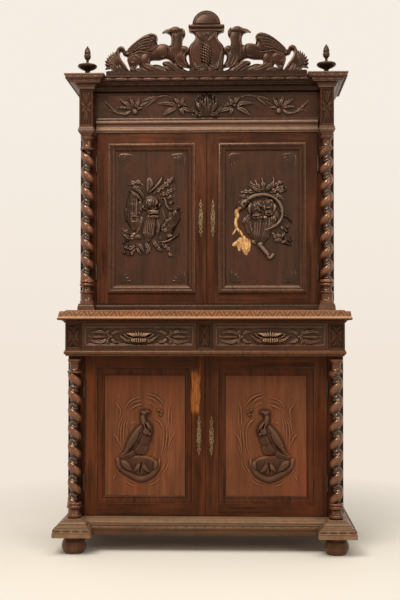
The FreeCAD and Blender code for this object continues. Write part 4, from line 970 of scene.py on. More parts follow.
lower_foot_profile = (
    [(0, 153), (33, 153)] + swelling(153.5, 173, 27, 33.5) + [(28, 174), (25.5, 180), (25, 187), (26.5, 193)]
    + swelling(194, 211, 28, 33.5) + [(29, 212), (31.5, 214), (31.8, 219), (29, 222), (0, 222)]
)
upper_foot_profile = (
    [(0, 1097), (32.5, 1097), (33, 1110), (30, 1112), (28.5, 1116), (28.5, 1140), (29.5, 1144)]
    + swelling(1145, 1154, 28, 33.2) + [(25, 1155), (22, 1160), (21.3, 1167), (22.5, 1174)]
    + swelling(1175, 1193, 26, 33.4) + [(29, 1194), (32, 1196), (32.2, 1204), (29, 1208), (0, 1208)]
)
for side, hand in (("left", 1), ("right", -1)):
    make_column(f"lower_{side}_column", -hand * LOWER_COLUMN_X, LOWER_COLUMN_Y, lower_foot_profile,
                neck_profile(791), 218, 794, hand)
    make_column(f"upper_{side}_column", -hand * UPPER_COLUMN_X, UPPER_COLUMN_Y, upper_foot_profile,
                neck_profile(1809), 1204, 1812, hand)

foot_profile = (
    [(0, 0), (38, 0), (41, 1.5)]
    + [(41 + 14 * math.sin(math.pi / 2 * k / 7), 3 + 27 * k / 7) for k in range(1, 8)]
    + [(55 - 9.5 * (k / 6) ** 2.2, 30 + 32 * k / 6) for k in range(1, 7)]
    + [(44, 63), (43.5, 66)] + swelling(66.5, 74, 42, 45, 6) + [(42.5, 75), (43, 80), (0, 80)]
)
foot_places = [(x, LOWER_COLUMN_Y) for x in (-LOWER_COLUMN_X, LOWER_COLUMN_X)] + [(x, 220) for x in (-565, 565)]
moulded("turned_bun_feet", joined(*[lathe(foot_profile, x, y, 48) for x, y in foot_places]),
        foot_oak, ["bun_feet"], 45.0, 3.0, 1)

finial_profile = (
    [(0, 2140), (34, 2140), (34, 2145), (30.5, 2148)] + [(29 - 18.5 * math.sin(math.pi / 2 * k / 6), 2149 + 22 * k / 6)
                                                       for k in range(7)]
    + [(12.5, 2173)] + [(14 + 30.5 * math.sin(math.pi / 2 * k / 7) ** 1.1, 2175 + 20 * k / 7) for k in range(8)]
    + [(45, 2197), (43, 2200.5), (37, 2202.5), (28, 2204), (16, 2206), (8, 2209), (6, 2214), (6, 2222), (8, 2226)]
    + [(11, 2229), (14.5, 2234), (15.6, 2240), (15.8, 2247), (14.4, 2249), (13.2, 2250), (14.2, 2254), (14.3, 2260),
       (12.8, 2268), (10.2, 2275), (7, 2281), (4.2, 2284), (3.2, 2287), (1.8, 2289.5), (0, 2290)]
)
moulded("turned_finials", joined(*[lathe(finial_profile, x, UPPER_COLUMN_Y, 36)
                                   for x in (-UPPER_COLUMN_X, UPPER_COLUMN_X)]),
        finial_oak, ["finials"], 45.0, 2.5, 1)


# Mouldings


def stepped(levels, plan):
    """A board whose plan grows and shrinks with its reach at each height."""
    points, faces = [], []
    for z, reach in levels:
        points += [(x, y, z) for x, y in plan(reach)]
    size = len(plan(0.0))
    for row in range(len(levels) - 1):
        for k in range(size - 1):
            a, b = row * size + k, row * size + k + 1
            faces.append([a, b, b + size, a + size])
    last = (len(levels) - 1) * size
    for row in range(len(levels) - 1):
        a, b = row * size, row * size + size - 1
        faces.append([b, a, a + size, b + size])
    faces.append(list(reversed(range(size))))
    faces.append([last + k for k in range(size)])
    return points, faces


def cove(z, rise, reach, out, steps):
    """The levels of a hollow quarter, upwards from a height and outwards from a reach."""
    return [(z + rise * math.sin(k / steps * QUARTER_TURN), reach + out * (1 - math.cos(k / steps * QUARTER_TURN)))
            for k in range(1, steps + 1)]


def quarter_round(z, rise, reach, out, steps):
    """The levels of a full quarter, upwards from a height and outwards from a reach."""
    return [(z + rise * k / steps, reach + out * math.sin(k / steps * QUARTER_TURN)) for k in range(1, steps + 1)]


def bead(z, half, reach, proud, turns):
    """The levels of a bead round a height, at turns in radians from its proudest line."""
    return [(z + half * math.sin(turn), reach - proud * math.cos(turn)) for turn in turns]


def edge_lines(run, run_y, block, block_y, side_x, side, z):
    """Lines along an edge: the run between the blocks, both blocks' fronts, the right side and the left."""
    near, far = block
    front, rear = side
    return [[(-run, run_y, z), (run, run_y, z)], [(-far, block_y, z), (-near, block_y, z)],
            [(near, block_y, z), (far, block_y, z)], [(side_x, front, z), (side_x, rear, z)],
            [(-side_x, front, z), (-side_x, rear, z)]]


def lobe_rows(lines, spacings, lengths, stand, height, finish):
    """A row of carved lobes along each line."""
    return [grown(LOBES, {"Spacing": spacing, "Length": length, "Stand": stand, "Height": height,
                          "Finish": finish}, line) for line, spacing, length in zip(lines, spacings, lengths)]


def cornice_plan(reach):
    """The cornice seen from above, broken forward over each column."""
    out, into, block, run = 582 + reach, 520 - reach, -58 - reach, -4 - reach
    return [(-out, BACK), (-out, block), (-into, block), (-into, run), (into, run), (into, block), (out, block),
            (out, BACK)]


cornice_levels = [(2081, 6), (2083, 8)] + cove(2083, 20, 8, 22, 8)
cornice_levels += [(2103, 34.5), (2104, 35.5), (2107, 35.5), (2108, 34.5), (2108, 38), (2109, 40), (2117, 41.5),
                   (2118, 44)]
cornice_levels += quarter_round(2118, 14, 44, 12.5, 6) + [(2133, 58.5), (2134, 60), (2139, 60), (2140, 59)]
lobe_reach = 52.5
cornice_lobes = lobe_rows(
    edge_lines(458, -4 - lobe_reach, (500, 617), -58 - lobe_reach, 582 + lobe_reach, (-91, 269), 2125),
    (65.4, 39.0, 39.0, 40.0, 40.0), (63.0, 37.5, 37.5, 38.5, 38.5), 6.0, 17.0, cornice_oak)
moulded("cornice_board", joined(stepped(cornice_levels, cornice_plan), *cornice_lobes), cornice_oak,
        ["cornice"], 30.0, 2.0)


def waist_plan(reach):
    """The ledge seen from above: its front stands out further than its ends."""
    out, front = 610 + reach, LOWER_FACE - 1.72 * reach
    return [(-out, BACK), (-out, front), (out, front), (out, BACK)]


waist_levels = [(1010, 4), (1012, 5)] + cove(1012, 9, 5, 19, 6)
waist_levels += [(1021.5, 25.6), (1023, 27.1), (1025, 27.9), (1027.5, 28), (1030, 27.7), (1031.8, 26.9),
                 (1033, 25.6), (1061, 2.5), (1061.5, 0.5), (1063, -0.5), (1065, -1.0)]
moulded("waist_ledge", stepped(waist_levels, waist_plan), waist_oak, ["waist_board"], 25.0, 1.6)


def rail_plan(inward):
    """The rail under the drawers seen from above: a front run and a return along either side."""
    out, front, edge = 616 - inward, -246 + inward, LOWER_CASE_EDGE
    return [(-out, BACK), (-out, front), (out, front), (out, BACK), (edge, BACK), (edge, -137), (-edge, -137),
            (-edge, BACK)]


rail_levels = [(864, 8.6), (865, 7.6), (869.5, 7.2), (870.5, 5.4)]
rail_levels += bead(879, 8.2, 5.4, 5.4, (-1.4, -1.1, -0.75, -0.4, 0.0, 0.4, 0.75, 1.1, 1.4))
rail_levels += [(887.6, 5.2), (888.2, 4.2), (891, 4.2), (892, 5.0)]
moulded("rounded_drawer_rail", stepped(rail_levels, rail_plan), rail_oak, ["drawer_rail_moulding"],
        30.0, 1.8)


def upper_foot_plan(inward):
    """The moulding at the foot of the upper cupboard seen from above: a block under each column."""
    out, front, into, run = 587 - 0.5 * inward, -68 + inward, 510 + inward, -8 + inward
    return [(-out, BACK), (-out, front), (-into, front), (-into, run), (into, run), (into, front), (out, front),
            (out, BACK), (582.2, BACK), (582.2, 22), (-582.2, 22), (-582.2, BACK)]


upper_foot_levels = [(1065, 0.8), (1066, 0), (1078, 0), (1079, 0.8), (1080, 1.6)] + cove(1080, 11, 1.6, 4.2, 6)
upper_foot_levels += [(1092, 6.4), (1096.4, 6.4), (1097, 7)]
moulded("rounded_upper_foot_moulding", stepped(upper_foot_levels, upper_foot_plan), upper_foot_oak,
        ["upper_base_moulding"], 30.0, 1.6)


def gouged_slope():
    """The ledge's slope: leaning gouge cuts that turn about at every second lobe."""
    deep, tall, lobe = 42, 28, 32.7
    field = Carving(-634, 634, 0, 37, 2.1)
    x, z = field.across, field.up
    place = x / lobe
    number = np.floor(place)
    share = place - number
    lean = np.where(number % 2 == 0, 1, -1)
    cut = np.abs(((share - 0.5) * lobe + lean * (z - 18) * 0.5) % 16.35 - 8.17) / 8.17
    field.height = 2.2 - 2.6 * (1 - cut) ** 1.2
    field.height *= np.clip(z / 5, 0, 1) * np.clip((37 - z) / 4, 0, 1)
    field.height += 1.6 * np.clip(1 - (z - 4) ** 2 / 16, 0, 1) * (0.35 + 0.65 * np.abs(np.sin(math.pi * place)))
    made, made_faces, _ = field.board(0.0, 6.0, 0.5)
    # Cuts darkened and ridges paled from the heights: partly dirt and wear, partly painted shade and highlight.
    wear_and_shading = field.marked(np.clip((field.height - 1.2) * 0.5, -1, 0.5))
    out = np.array([0, -math.cos(math.atan2(deep, tall)), math.sin(math.atan2(deep, tall))])
    rise = np.array([0, deep / math.hypot(deep, tall), tall / math.hypot(deep, tall)])
    foot = np.array([0, -285.5, 1033.5])
    placed = foot + made[:, :1] * np.array([1.0, 0, 0]) + made[:, 2:] * rise * 1.28 - made[:, 1:2] * out
    return placed, made_faces, wear_and_shading


points, faces, wear_and_shading = gouged_slope()
finished("waist_gouge_carving", points, faces, "carcass", waist_oak, (), 30.0, wear_and_shading)

behind_base = [(LOWER_CASE_EDGE, BACK), (LOWER_CASE_EDGE, -159.5), (-LOWER_CASE_EDGE, -159.5),
               (-LOWER_CASE_EDGE, BACK)]


def base_plan(inward):
    """The base seen from above, drawn in by some millimetres: a block at each front corner."""
    out, front, into, run = 658 - inward, -290 + inward, 491 + inward, -209 + inward * 0.75
    return [(-out, BACK), (-out, front), (-into, front), (-into, run), (into, run), (into, front), (out, front),
            (out, BACK), *behind_base]


def upper_step_plan(inward):
    """The step over the base, drawn in by some millimetres."""
    out, run = 634 - inward, -190 + inward
    return [(-out, BACK), (-out, -159), (-out, run), (out, run), (out, -159), (out, BACK), *behind_base]


def block_plan(x):
    """The stepped block under a column, seen from above."""
    def plan(inward):
        half = 60 - inward
        front = LOWER_COLUMN_Y - half
        return [(x - half, -120), (x - half, front), (x + half, front), (x + half, -120)]
    return plan


base_levels = [(80, 4), (81, 1.2), (82.5, 0), (97, 0), (98, 1.5), (100, 1.5), (101, 0.4)]
base_levels += [(101 + 16 * k / 8, 0.4 + 9.0 * (1 - math.cos(k / 8 * QUARTER_TURN)) ** 0.8) for k in range(1, 9)]
base_levels += [(118, 12.5), (119.5, 13), (121, 12.6), (122, 15)] + quarter_round(122, 7, 15, 9, 5)
upper_step_levels = [(128.5, 0), (130, 0), (131, 0.6), (133.5, 1.8), (137, 7), (142, 13), (145, 16), (146, 17.5),
                     (147, 17.6), (153, 17.8)]
block_levels = [(128.5, 0), (131, 0), (132, 1.2), (134, 1.4), (135, 0.8), (139, 3.5), (142.5, 9), (144.5, 15),
                (146, 18), (147, 19.5), (148, 21), (152.2, 21.2), (153, 22)]
moulded("moulded_base", joined(stepped(base_levels, base_plan), stepped(upper_step_levels, upper_step_plan),
                               *[stepped(block_levels, block_plan(x)) for x in (-LOWER_COLUMN_X, LOWER_COLUMN_X)]),
        base_oak, ["base_mouldings"], 25.0, 2.0)

base_spacings = (41.9, 41.3, 41.3, 41.2, 41.2)
base_lobes = lobe_rows(edge_lines(484, -206.5, (512, 636), -286.5, 654.5, (-268, 268), 110), base_spacings,
                       [spacing - 1.5 for spacing in base_spacings], 3.0, 13.0, base_oak)
moulded("base_edge_lobes", joined(*base_lobes), base_oak, (), 30.0, 1.5, 2)


# Crest


def mirrored_outline(right):
    """A closed outline from its right half."""
    return right + [(-x, z) for x, z in reversed(right)]


def crest_points(shares):
    """Points given as shares of the crest's half width and height, on a sheet of millimetres."""
    return [(472 * across, -310 * up) for across, up in shares]


griffin_body = [
    (0.156, 0.09), (0.15, 0.13), (0.156, 0.165), (0.189, 0.246), (0.196, 0.325), (0.175, 0.358), (0.168, 0.4),
    (0.18, 0.445), (0.209, 0.468), (0.233, 0.474), (0.236, 0.53), (0.228, 0.585), (0.211, 0.63), (0.209, 0.685),
    (0.236, 0.735), (0.25, 0.722), (0.272, 0.744), (0.3, 0.756), (0.331, 0.746), (0.365, 0.72), (0.41, 0.705),
    (0.437, 0.672), (0.405, 0.68), (0.371, 0.66), (0.352, 0.63), (0.345, 0.57), (0.352, 0.49), (0.378, 0.482),
    (0.405, 0.505), (0.44, 0.507), (0.475, 0.495), (0.484, 0.54), (0.478, 0.6), (0.5, 0.64), (0.55, 0.655),
    (0.61, 0.62), (0.67, 0.56), (0.73, 0.485), (0.79, 0.40),
]
griffin_fan = [
    (0.803, 0.45), (0.833, 0.472), (0.861, 0.456), (0.877, 0.42), (0.886, 0.375), (0.893, 0.402), (0.905, 0.365),
    (0.917, 0.393), (0.924, 0.345), (0.941, 0.37), (0.944, 0.32), (0.962, 0.345), (0.958, 0.29), (0.981, 0.307),
    (0.972, 0.255), (0.997, 0.262), (0.984, 0.215), (0.999, 0.205), (0.978, 0.17), (0.996, 0.135), (0.95, 0.148),
    (0.925, 0.13), (0.915, 0.105), (0.965, 0.11), (0.975, 0.085), (0.93, 0.06), (0.93, 0.03),
]
griffin_tail_hole = [
    (0.79, 0.33), (0.815, 0.345), (0.83, 0.395), (0.85, 0.385), (0.846, 0.32), (0.82, 0.25), (0.79, 0.19),
    (0.765, 0.125), (0.748, 0.1), (0.752, 0.15), (0.769, 0.22), (0.776, 0.27), (0.768, 0.3),
]
griffin_belly_hole = [
    (0.551, 0.186), (0.545, 0.262), (0.461, 0.27), (0.391, 0.29), (0.325, 0.225), (0.36, 0.238), (0.4, 0.235),
    (0.432, 0.222), (0.425, 0.19), (0.405, 0.158), (0.44, 0.18), (0.49, 0.2),
]
griffin_leg_hole = [(0.655, 0.165), (0.668, 0.205), (0.69, 0.165), (0.715, 0.15), (0.7, 0.135), (0.66, 0.14)]
griffin_foot_hole = [(0.131, 0.16), (0.15, 0.125), (0.178, 0.148), (0.215, 0.158), (0.24, 0.16), (0.21, 0.12),
                     (0.165, 0.098), (0.138, 0.112)]


def make_griffin(flip):
    """One griffin, looking outwards: beaked head, feathered wing, crouched haunch and a fan of leaf for a tail."""
    field = Carving(*((58, 474) if flip > 0 else (-474, -58)), 2154, 2380, 1.9, (1.0, 0.0, 2140.0), flip)
    body = [tuple(p) for p in smooth_line(crest_points(griffin_body), 4)]
    outline = body + crest_points(griffin_fan) + crest_points([(0.156, 0.03)])
    gap = outline_distance(field, outline)
    for hole in (griffin_tail_hole, griffin_belly_hole, griffin_leg_hole, griffin_foot_hole):
        closed = [tuple(p) for p in smooth_line(crest_points(hole + hole[:1]), 4)][:-1]
        gap = np.maximum(gap, -outline_distance(field, closed))
    edge = np.clip(-gap, 0, None)
    field.height = 11.0 * (1 - np.exp(-edge / 7.0))

    def line(*shares):
        return crest_points(shares)

    def lump(across, up, *sizes):
        field.lump(*line((across, up))[0], *sizes)
    field.rod(line((0.29, 0.7), (0.285, 0.58), (0.29, 0.45), (0.3, 0.34)), 26, 5.5, (0.8, 0.7), 9)
    lump(0.292, 0.7, 30, 19, 6, 0, 9)
    field.leaf(line((0.3, 0.71), (0.36, 0.7), (0.435, 0.67)), 10, 5, 0, 9.5, 0.0)
    lump(0.305, 0.706, 4.2, 3.6, 3.0, 0, 14.0)
    field.groove(line((0.262, 0.675), (0.31, 0.66), (0.36, 0.672)), 2.6, 3.0)
    field.leaf(line((0.24, 0.63), (0.222, 0.68), (0.237, 0.735)), 7, 4, 0, 10)
    field.groove(line((0.322, 0.62), (0.318, 0.52), (0.33, 0.43)), 3.0, 1.8)
    lump(0.21, 0.42, 18, 16, 6, 0, 8.5)
    lump(0.21, 0.42, 8, 7, 9, 0, 8.5)
    field.leaf(line((0.235, 0.44), (0.262, 0.33), (0.245, 0.21), (0.185, 0.13)), 27, 5, 0, 8.5, 0.0)
    field.rod(line((0.2, 0.38), (0.222, 0.3), (0.21, 0.22), (0.172, 0.165)), 3.2, 4, (0.6, 0.5), 10.5)
    field.rod(line((0.295, 0.36), (0.298, 0.27), (0.27, 0.185), (0.215, 0.13)), 3.2, 4, (0.6, 0.5), 10.5)
    field.groove(line((0.25, 0.38), (0.262, 0.3), (0.238, 0.2)), 3.0, 2.2)
    lump(0.43, 0.4, 38, 32, 6, -10, 8)
    field.groove(line((0.395, 0.5), (0.38, 0.42), (0.385, 0.34), (0.4, 0.29)), 3.2, 3.5)
    field.groove(line((0.46, 0.5), (0.5, 0.42), (0.53, 0.36)), 2.8, 2.8)
    wing = [(0.5, 0.58), (0.56, 0.56), (0.66, 0.47), (0.79, 0.345)]
    field.leaf(line(*wing), 40, 6.5, 0, 9, 0.0)
    for k in range(5):
        start = (0.52 + 0.012 * k, 0.6 - 0.046 * k)
        middle = (0.63 + 0.006 * k, 0.56 - 0.042 * k)
        end = (0.79 - 0.014 * k, 0.37 - 0.012 * k)
        field.groove(line(start, middle, end), 3.0, 3.0)
    field.rod(line((0.487, 0.52), (0.487, 0.6), (0.52, 0.636), (0.57, 0.632)), 7, 4, (0.5, 0.4), 11.5)
    field.rod(line((0.53, 0.362), (0.6, 0.375), (0.65, 0.388), (0.71, 0.352), (0.765, 0.305)), 3.4, 4, (0.5, 0.4), 11)
    field.groove(line((0.52, 0.385), (0.6, 0.395), (0.65, 0.41), (0.72, 0.37), (0.775, 0.32)), 3.0, 5.0)
    lump(0.705, 0.265, 34, 36, 7, 35, 7.5)
    lump(0.6, 0.27, 22, 30, 6, 10, 7.5)
    field.rod(line((0.69, 0.27), (0.7, 0.22), (0.74, 0.23), (0.74, 0.29), (0.7, 0.32), (0.655, 0.29)),
              4.2, 3, (0.6, 1), 12)
    field.leaf(line((0.6, 0.25), (0.6, 0.19), (0.55, 0.14), (0.44, 0.09)), 18, 6, 0, 8)
    field.leaf(line((0.72, 0.2), (0.7, 0.14), (0.62, 0.09), (0.52, 0.08)), 15, 6, 0, 8)
    field.leaf(line((0.77, 0.15), (0.71, 0.12), (0.66, 0.09)), 10, 5, 0, 9)
    field.leaf(line((0.43, 0.235), (0.37, 0.2), (0.28, 0.1), (0.24, 0.08)), 15, 7, 0, 8, 0.4)
    field.leaf(line((0.42, 0.16), (0.36, 0.12), (0.3, 0.08)), 10, 5, 0, 8)
    field.rod(line((0.79, 0.39), (0.805, 0.43), (0.835, 0.45), (0.865, 0.43), (0.87, 0.36), (0.85, 0.27),
                   (0.8, 0.17), (0.75, 0.08)), 8, 4, (0.6, 1), 9.5)
    root = (0.845, 0.17)
    for tip in ((0.877, 0.4), (0.893, 0.398), (0.916, 0.39), (0.94, 0.366), (0.961, 0.34), (0.98, 0.303),
                (0.995, 0.258), (0.995, 0.205), (0.99, 0.138)):
        middle = (root[0] * 0.5 + tip[0] * 0.5 + 0.004, root[1] * 0.45 + tip[1] * 0.55)
        field.leaf(line(root, middle, tip), 8.5, 5.5, 0, 8.5, 0.35, 0, 0.9)
    field.leaf(line((0.86, 0.2), (0.85, 0.12), (0.8, 0.06)), 16, 6, 0, 8.5, 0.4)
    field.leaf(line((0.93, 0.15), (0.9, 0.1), (0.86, 0.06)), 12, 5, 0, 8.5, 0.4)
    return field.pierced(gap, -19.0, -3.0, 0.42)


points, faces, wear_and_shading = joined_with_marks(make_griffin(-1), make_griffin(1))
finished("carved_griffins", points, faces, "carcass", crest_oak, ["crest_griffins"], 42.0, wear_and_shading)


def make_plaque():
    """The domed plaque: dome on a moulded abacus, a waisted vase with a pine cone, and scrolls at its foot."""
    field = Carving(-86, 86, 2158, 2452, 1.7)
    vase = smooth_line([(82, 2160), (77, 2186), (80, 2225), (84, 2262), (76, 2288), (56, 2312), (51, 2330),
                        (60, 2345), (74, 2351)], 6)
    right = [tuple(p) for p in vase] + [(79, 2353), (82, 2356), (80, 2360), (82, 2366), (83, 2371), (83, 2379),
                                        (80, 2382), (66, 2383)]
    right += [(65.0 * math.cos(k / 14 * QUARTER_TURN), 2383 + 66.5 * math.sin(k / 14 * QUARTER_TURN))
              for k in range(1, 15)]
    outline = [(x, -z) for x, z in mirrored_outline(right)]
    gap = outline_distance(field, outline)
    edge = np.clip(-gap, 0, None)
    field.height = 9.0 * (1 - np.exp(-edge / 6.0))
    x, z = field.across, field.up
    shell = (z > 2383)
    field.height[shell] += (2.2 * np.clip(1 - ((np.hypot(x, z - 2383) - 55) / 4) ** 2, 0, 1))[shell]
    dome = np.clip(1 - (np.hypot(x, z - 2383) / 50) ** 2, 0, 1)
    field.height[shell] += (4.0 * np.sqrt(dome))[shell]
    band = (z > 2351) & (z <= 2383)
    field.height[band] = 9 + (3.2 * np.sqrt(np.clip(1 - ((z - 2375) / 7) ** 2, 0, 1)) + 2.2 * np.sqrt(
        np.clip(1 - ((z - 2356) / 4) ** 2, 0, 1)))[band]
    field.groove([(-84, -2365), (84, -2365)], 3, 3)
    field.groove([(-84, -2384), (84, -2384)], 2.5, 3)

    def pair(draw, points, *sizes):
        draw([(px, -pz) for px, pz in points], *sizes)
        draw([(-px, -pz) for px, pz in points], *sizes)

    pair(field.rod, [(46, 2342), (45, 2322), (52, 2304), (66, 2284), (72, 2262), (65, 2230), (58, 2196), (60, 2170)],
         4, 2.5, (0.5, 1), 8)
    pair(field.leaf, [(10, 2196), (26, 2182), (46, 2184), (58, 2210)], 12, 6, 0, 8, 0.35)
    pair(field.leaf, [(6, 2190), (18, 2172), (36, 2166), (50, 2172)], 9, 6, 0, 8, 0.35)
    pair(field.leaf, [(8, 2300), (20, 2316), (34, 2330), (44, 2346)], 7, 3.0, 0, 8, 0.3)
    field.leaf([(0, -2222), (0, -2195), (0, -2166)], 11, 7, 0, 9, 0.35)
    field.leaf([(0, -2345), (-9, -2337), (-16, -2325)], 5, 4, 0, 9)
    field.leaf([(0, -2345), (9, -2337), (16, -2325)], 5, 4, 0, 9)
    field.lump(0, -2244, 25, 52, 19, 0, 7)
    for k in range(7):
        field.groove([(-24, -(2290 - 13 * k)), (0, -(2278 - 13 * k)), (24, -(2260 - 13 * k))], 2.8, 5.5)
    for k in range(4):
        field.groove([(20 - 12 * k, -2292), (14 - 11 * k, -2250), (16 - 11 * k, -2196)], 2.2, 3.0)
    points, faces, wear_and_shading = field.pierced(gap, -23.0, -1.0, 0.42)
    finished("domed_plaque", points, faces, "carcass", crest_oak, ["crest_plaque"], 42.0, wear_and_shading)


make_plaque()


# Frieze and corner blocks


def draw_frieze_half(field):
    """Half of the frieze: a star of finger leaves, a waving stem and a bud with spiky petals."""
    star = [
        ([(372, 1030), (350, 990), (328, 950)], 8), ([(376, 1020), (395, 985), (440, 950)], 8),
        ([(392, 1038), (470, 1010), (585, 1008)], 8), ([(366, 1042), (300, 1072), (225, 1092)], 8),
        ([(372, 1050), (350, 1085), (338, 1125)], 8), ([(398, 1046), (470, 1080), (540, 1130)], 9),
        ([(362, 1018), (325, 1020), (290, 1035)], 6),
    ]
    for points, width in star:
        field.leaf(points, 1.3 * width, 11.0, 0, 0, 0.35)
    field.lump(382, 1030, 8, 8, 11)
    field.rod([(430, 955), (510, 930), (600, 945), (700, 1000), (790, 1050)], 4, 5, (0.5, 0.7))
    field.leaf([(560, 945), (640, 950), (740, 985)], 7, 7, 0, 1, 0.3)
    field.leaf([(590, 950), (660, 1000), (700, 1035)], 6, 7, 0, 1, 0.3)
    bud = [
        ([(812, 1052), (785, 1005), (768, 958)], 8), ([(822, 1045), (840, 990), (868, 945)], 8),
        ([(836, 1052), (890, 1010), (965, 968)], 8), ([(842, 1062), (910, 1045), (985, 1048)], 6),
        ([(800, 1062), (760, 1050), (735, 1062)], 6),
    ]
    for points, width in bud:
        field.leaf(points, 1.3 * width, 11.0, 0, 0, 0.35)
    field.lump(812, 1085, 13, 14, 13)
    field.lump(806, 1100, 7, 7, 15)
    field.leaf([(850, 1072), (900, 1108), (960, 1105)], 7, 9, 0, 1, 0.3)
    field.rod([(880, 1100), (970, 1102), (1040, 1050), (1105, 985)], 4.5, 7, (0.8, 0.2))
    field.leaf([(960, 1104), (1040, 1075), (1070, 1085)], 5, 6, 0, 0, 0.3)
    for points, width in (([(118, 1105), (150, 1020), (130, 950)], 9), ([(122, 1110), (190, 1050), (215, 975)], 10),
                          ([(124, 1115), (210, 1105), (255, 1050)], 10), ([(120, 1112), (200, 1130), (250, 1120)], 8)):
        field.leaf(points, width, 12.0, 0, 0, 0.35)


def make_frieze_carving():
    """The frieze: a palmette in the middle and the same scroll to either side."""
    field = Carving(-514, 514, 1951, 2080, 2.3, (0.4749, -52.2, 2506.2))
    for flip in (1, -1):
        field.flip = flip
        draw_frieze_half(field)
    field.flip = 1
    field.leaf([(110, 1150), (110, 1040), (110, 895)], 20, 18, 0, 0, 0.5)
    for lean in (-1, 1):
        for across, up, width, height in ((40, 905, 13, 16), (78, 925, 12, 14), (108, 960, 10, 12), (60, 1030, 12, 11)):
            field.leaf([(110, 1140), (110 + 0.62 * across * lean, 0.42 * up + 0.58 * 1130),
                        (110 + across * lean, up)], width, height, 0, 0, 0.45)
    z = field.up
    field.height += 2.0 * np.clip(1 - np.abs(z - 1955) / 4, 0, 1) + 2.0 * np.clip(1 - np.abs(z - 2075) / 5, 0, 1)
    points, faces, wear_and_shading = field.board(13.0, 18.0, 0.4)
    finished("frieze_scroll_carving", points, faces, "carcass", carved_oak, ["frieze_carving"], 60.0,
             wear_and_shading)


make_frieze_carving()


def star_block(x0, x1, z0, z1, face, back, keyhole=False):
    """A corner block with a sunk field and four leaves laid crosswise."""
    field = Carving(x0, x1, z0, z1, 1.6)
    cx, cz = (x0 + x1) / 2, (z0 + z1) / 2
    x, z = field.across - cx, field.up - cz
    half, tall = (x1 - x0) / 2, (z1 - z0) / 2
    sunk = np.clip((half - 6 - np.abs(x)) / 3, 0, 1) * np.clip((tall - 7 - np.abs(z)) / 3, 0, 1)
    field.height -= 3.4 * sunk
    arm = half - 8
    if not keyhole:
        for sx in (-1, 1):
            for sz in (-1, 1):
                field.leaf([(cx + 2 * sx, -(cz + 3 * sz)), (cx + 0.55 * arm * sx, -(cz + 0.5 * arm * sz)),
                            (cx + arm * sx, -(cz + 1.15 * arm * sz))], 7.5, 3.6, 0, -3.0, 0.45)
            field.leaf([(cx + 3 * sx, -cz), (cx + arm * sx, -cz)], 4.0, 3.0, 0, -3.0, 0.4)
    for sz in (-1, 1):
        for sx in (-1, 0, 1):
            field.leaf([(cx, -(cz + 10 * sz)), (cx + 7 * sx, -(cz + 0.55 * tall * sz)),
                        (cx + 0.75 * arm * sx, -(cz + (tall - 9) * sz))], 5.0, 3.4, 0, -3.0, 0.45)
    field.lump(cx, -cz, 4.5, 4.5, 3.4, 0, -2.4)
    if keyhole:
        field.height[np.hypot(x / 4.0, (z - 1) / 5.0) < 1] = -6.0
        field.height[(np.abs(x) < 1.6) & (z < 0) & (z > -12)] = -6.0
    return field.board(face, back, 0.55)


def make_blocks(name, blocks, replaced):
    """Corner blocks as one piece."""
    points, faces, wear_and_shading = joined_with_marks(*[star_block(*block) for block in blocks])
    finished(name, points, faces, "carcass", block_oak, [replaced], 45.0, wear_and_shading)


make_blocks("frieze_star_blocks", [(-582, -520, 1909, 2081, -58, 22), (520, 582, 1909, 2081, -58, 22)],
            "frieze_blocks")
make_blocks("drawer_row_star_blocks", [(-610, -540, 892, 1010, LOWER_FACE, -159),
                                      (540, 610, 892, 1010, LOWER_FACE, -159),
                                      (-33, 33, 892, 1010, LOWER_FACE, -159, True)], "drawer_row_blocks")


# Architrave, capitals and drawers


def architrave_plan(inward):
    """The architrave's mouldings seen from above."""
    return [(-514, 22.3), (-514, 4 + inward), (514, 4 + inward), (514, 22.3)]


def architrave_board_plan(_):
    """The plain board behind the architrave, the same at every height."""
    return [(-515, 44), (-515, 22), (515, 22), (515, 44)]


architrave_levels = [(1894, 12.6), (1895.5, 11.2), (1899, 11)]
architrave_levels += bead(1906, 6.4, 10.8, 4.4, (-1.35, -1.0, -0.65, -0.3, 0.0, 0.3, 0.65, 1.0, 1.35))
architrave_levels += [(1913.4, 9.6), (1916, 10.8), (1920, 11.4), (1925, 11), (1929, 9.6), (1932, 7.4)]
architrave_levels += bead(1941, 8, 8, 8, (-1.1, -0.8, -0.5, -0.25, 0.0, 0.25, 0.5, 0.8, 1.1, 1.35))
architrave_levels += [(1950, 8.4)]
moulded("beaded_architrave", joined(stepped(architrave_levels, architrave_plan),
                                    stepped([(1894, 0), (1950, 0)], architrave_board_plan)),
        architrave_oak, ["architrave"], 30.0, 1.6)


def capital_plan(x):
    """A capital seen from above."""
    def plan(inward):
        half, front = 37 - inward, -64 + inward
        return [(x - half, 21.5), (x - half, front), (x + half, front), (x + half, 21.5)]
    return plan


capital_levels = [(1867, 15), (1869, 15), (1870, 12), (1874, 11), (1875, 9)]
capital_levels += [(1875 + 13 * k / 6, 9 - 7.5 * math.sin(k / 6 * QUARTER_TURN) ** 1.5) for k in range(1, 7)]
capital_levels += [(1889, 0.8), (1890.5, 0), (1895, 0), (1896.5, 0.8), (1897, 3.2), (1899, 3.6)]
capital_levels += bead(1902, 2.6, 3.4, 2.0, (-1.3, -0.7, 0, 0.7, 1.3)) + [(1905.5, 5), (1909, 5.4)]
moulded("moulded_capitals", joined(*[stepped(capital_levels, capital_plan(x))
                                     for x in (-UPPER_COLUMN_X, UPPER_COLUMN_X)]),
        cornice_oak, ["column_capitals"], 25.0, 1.6)


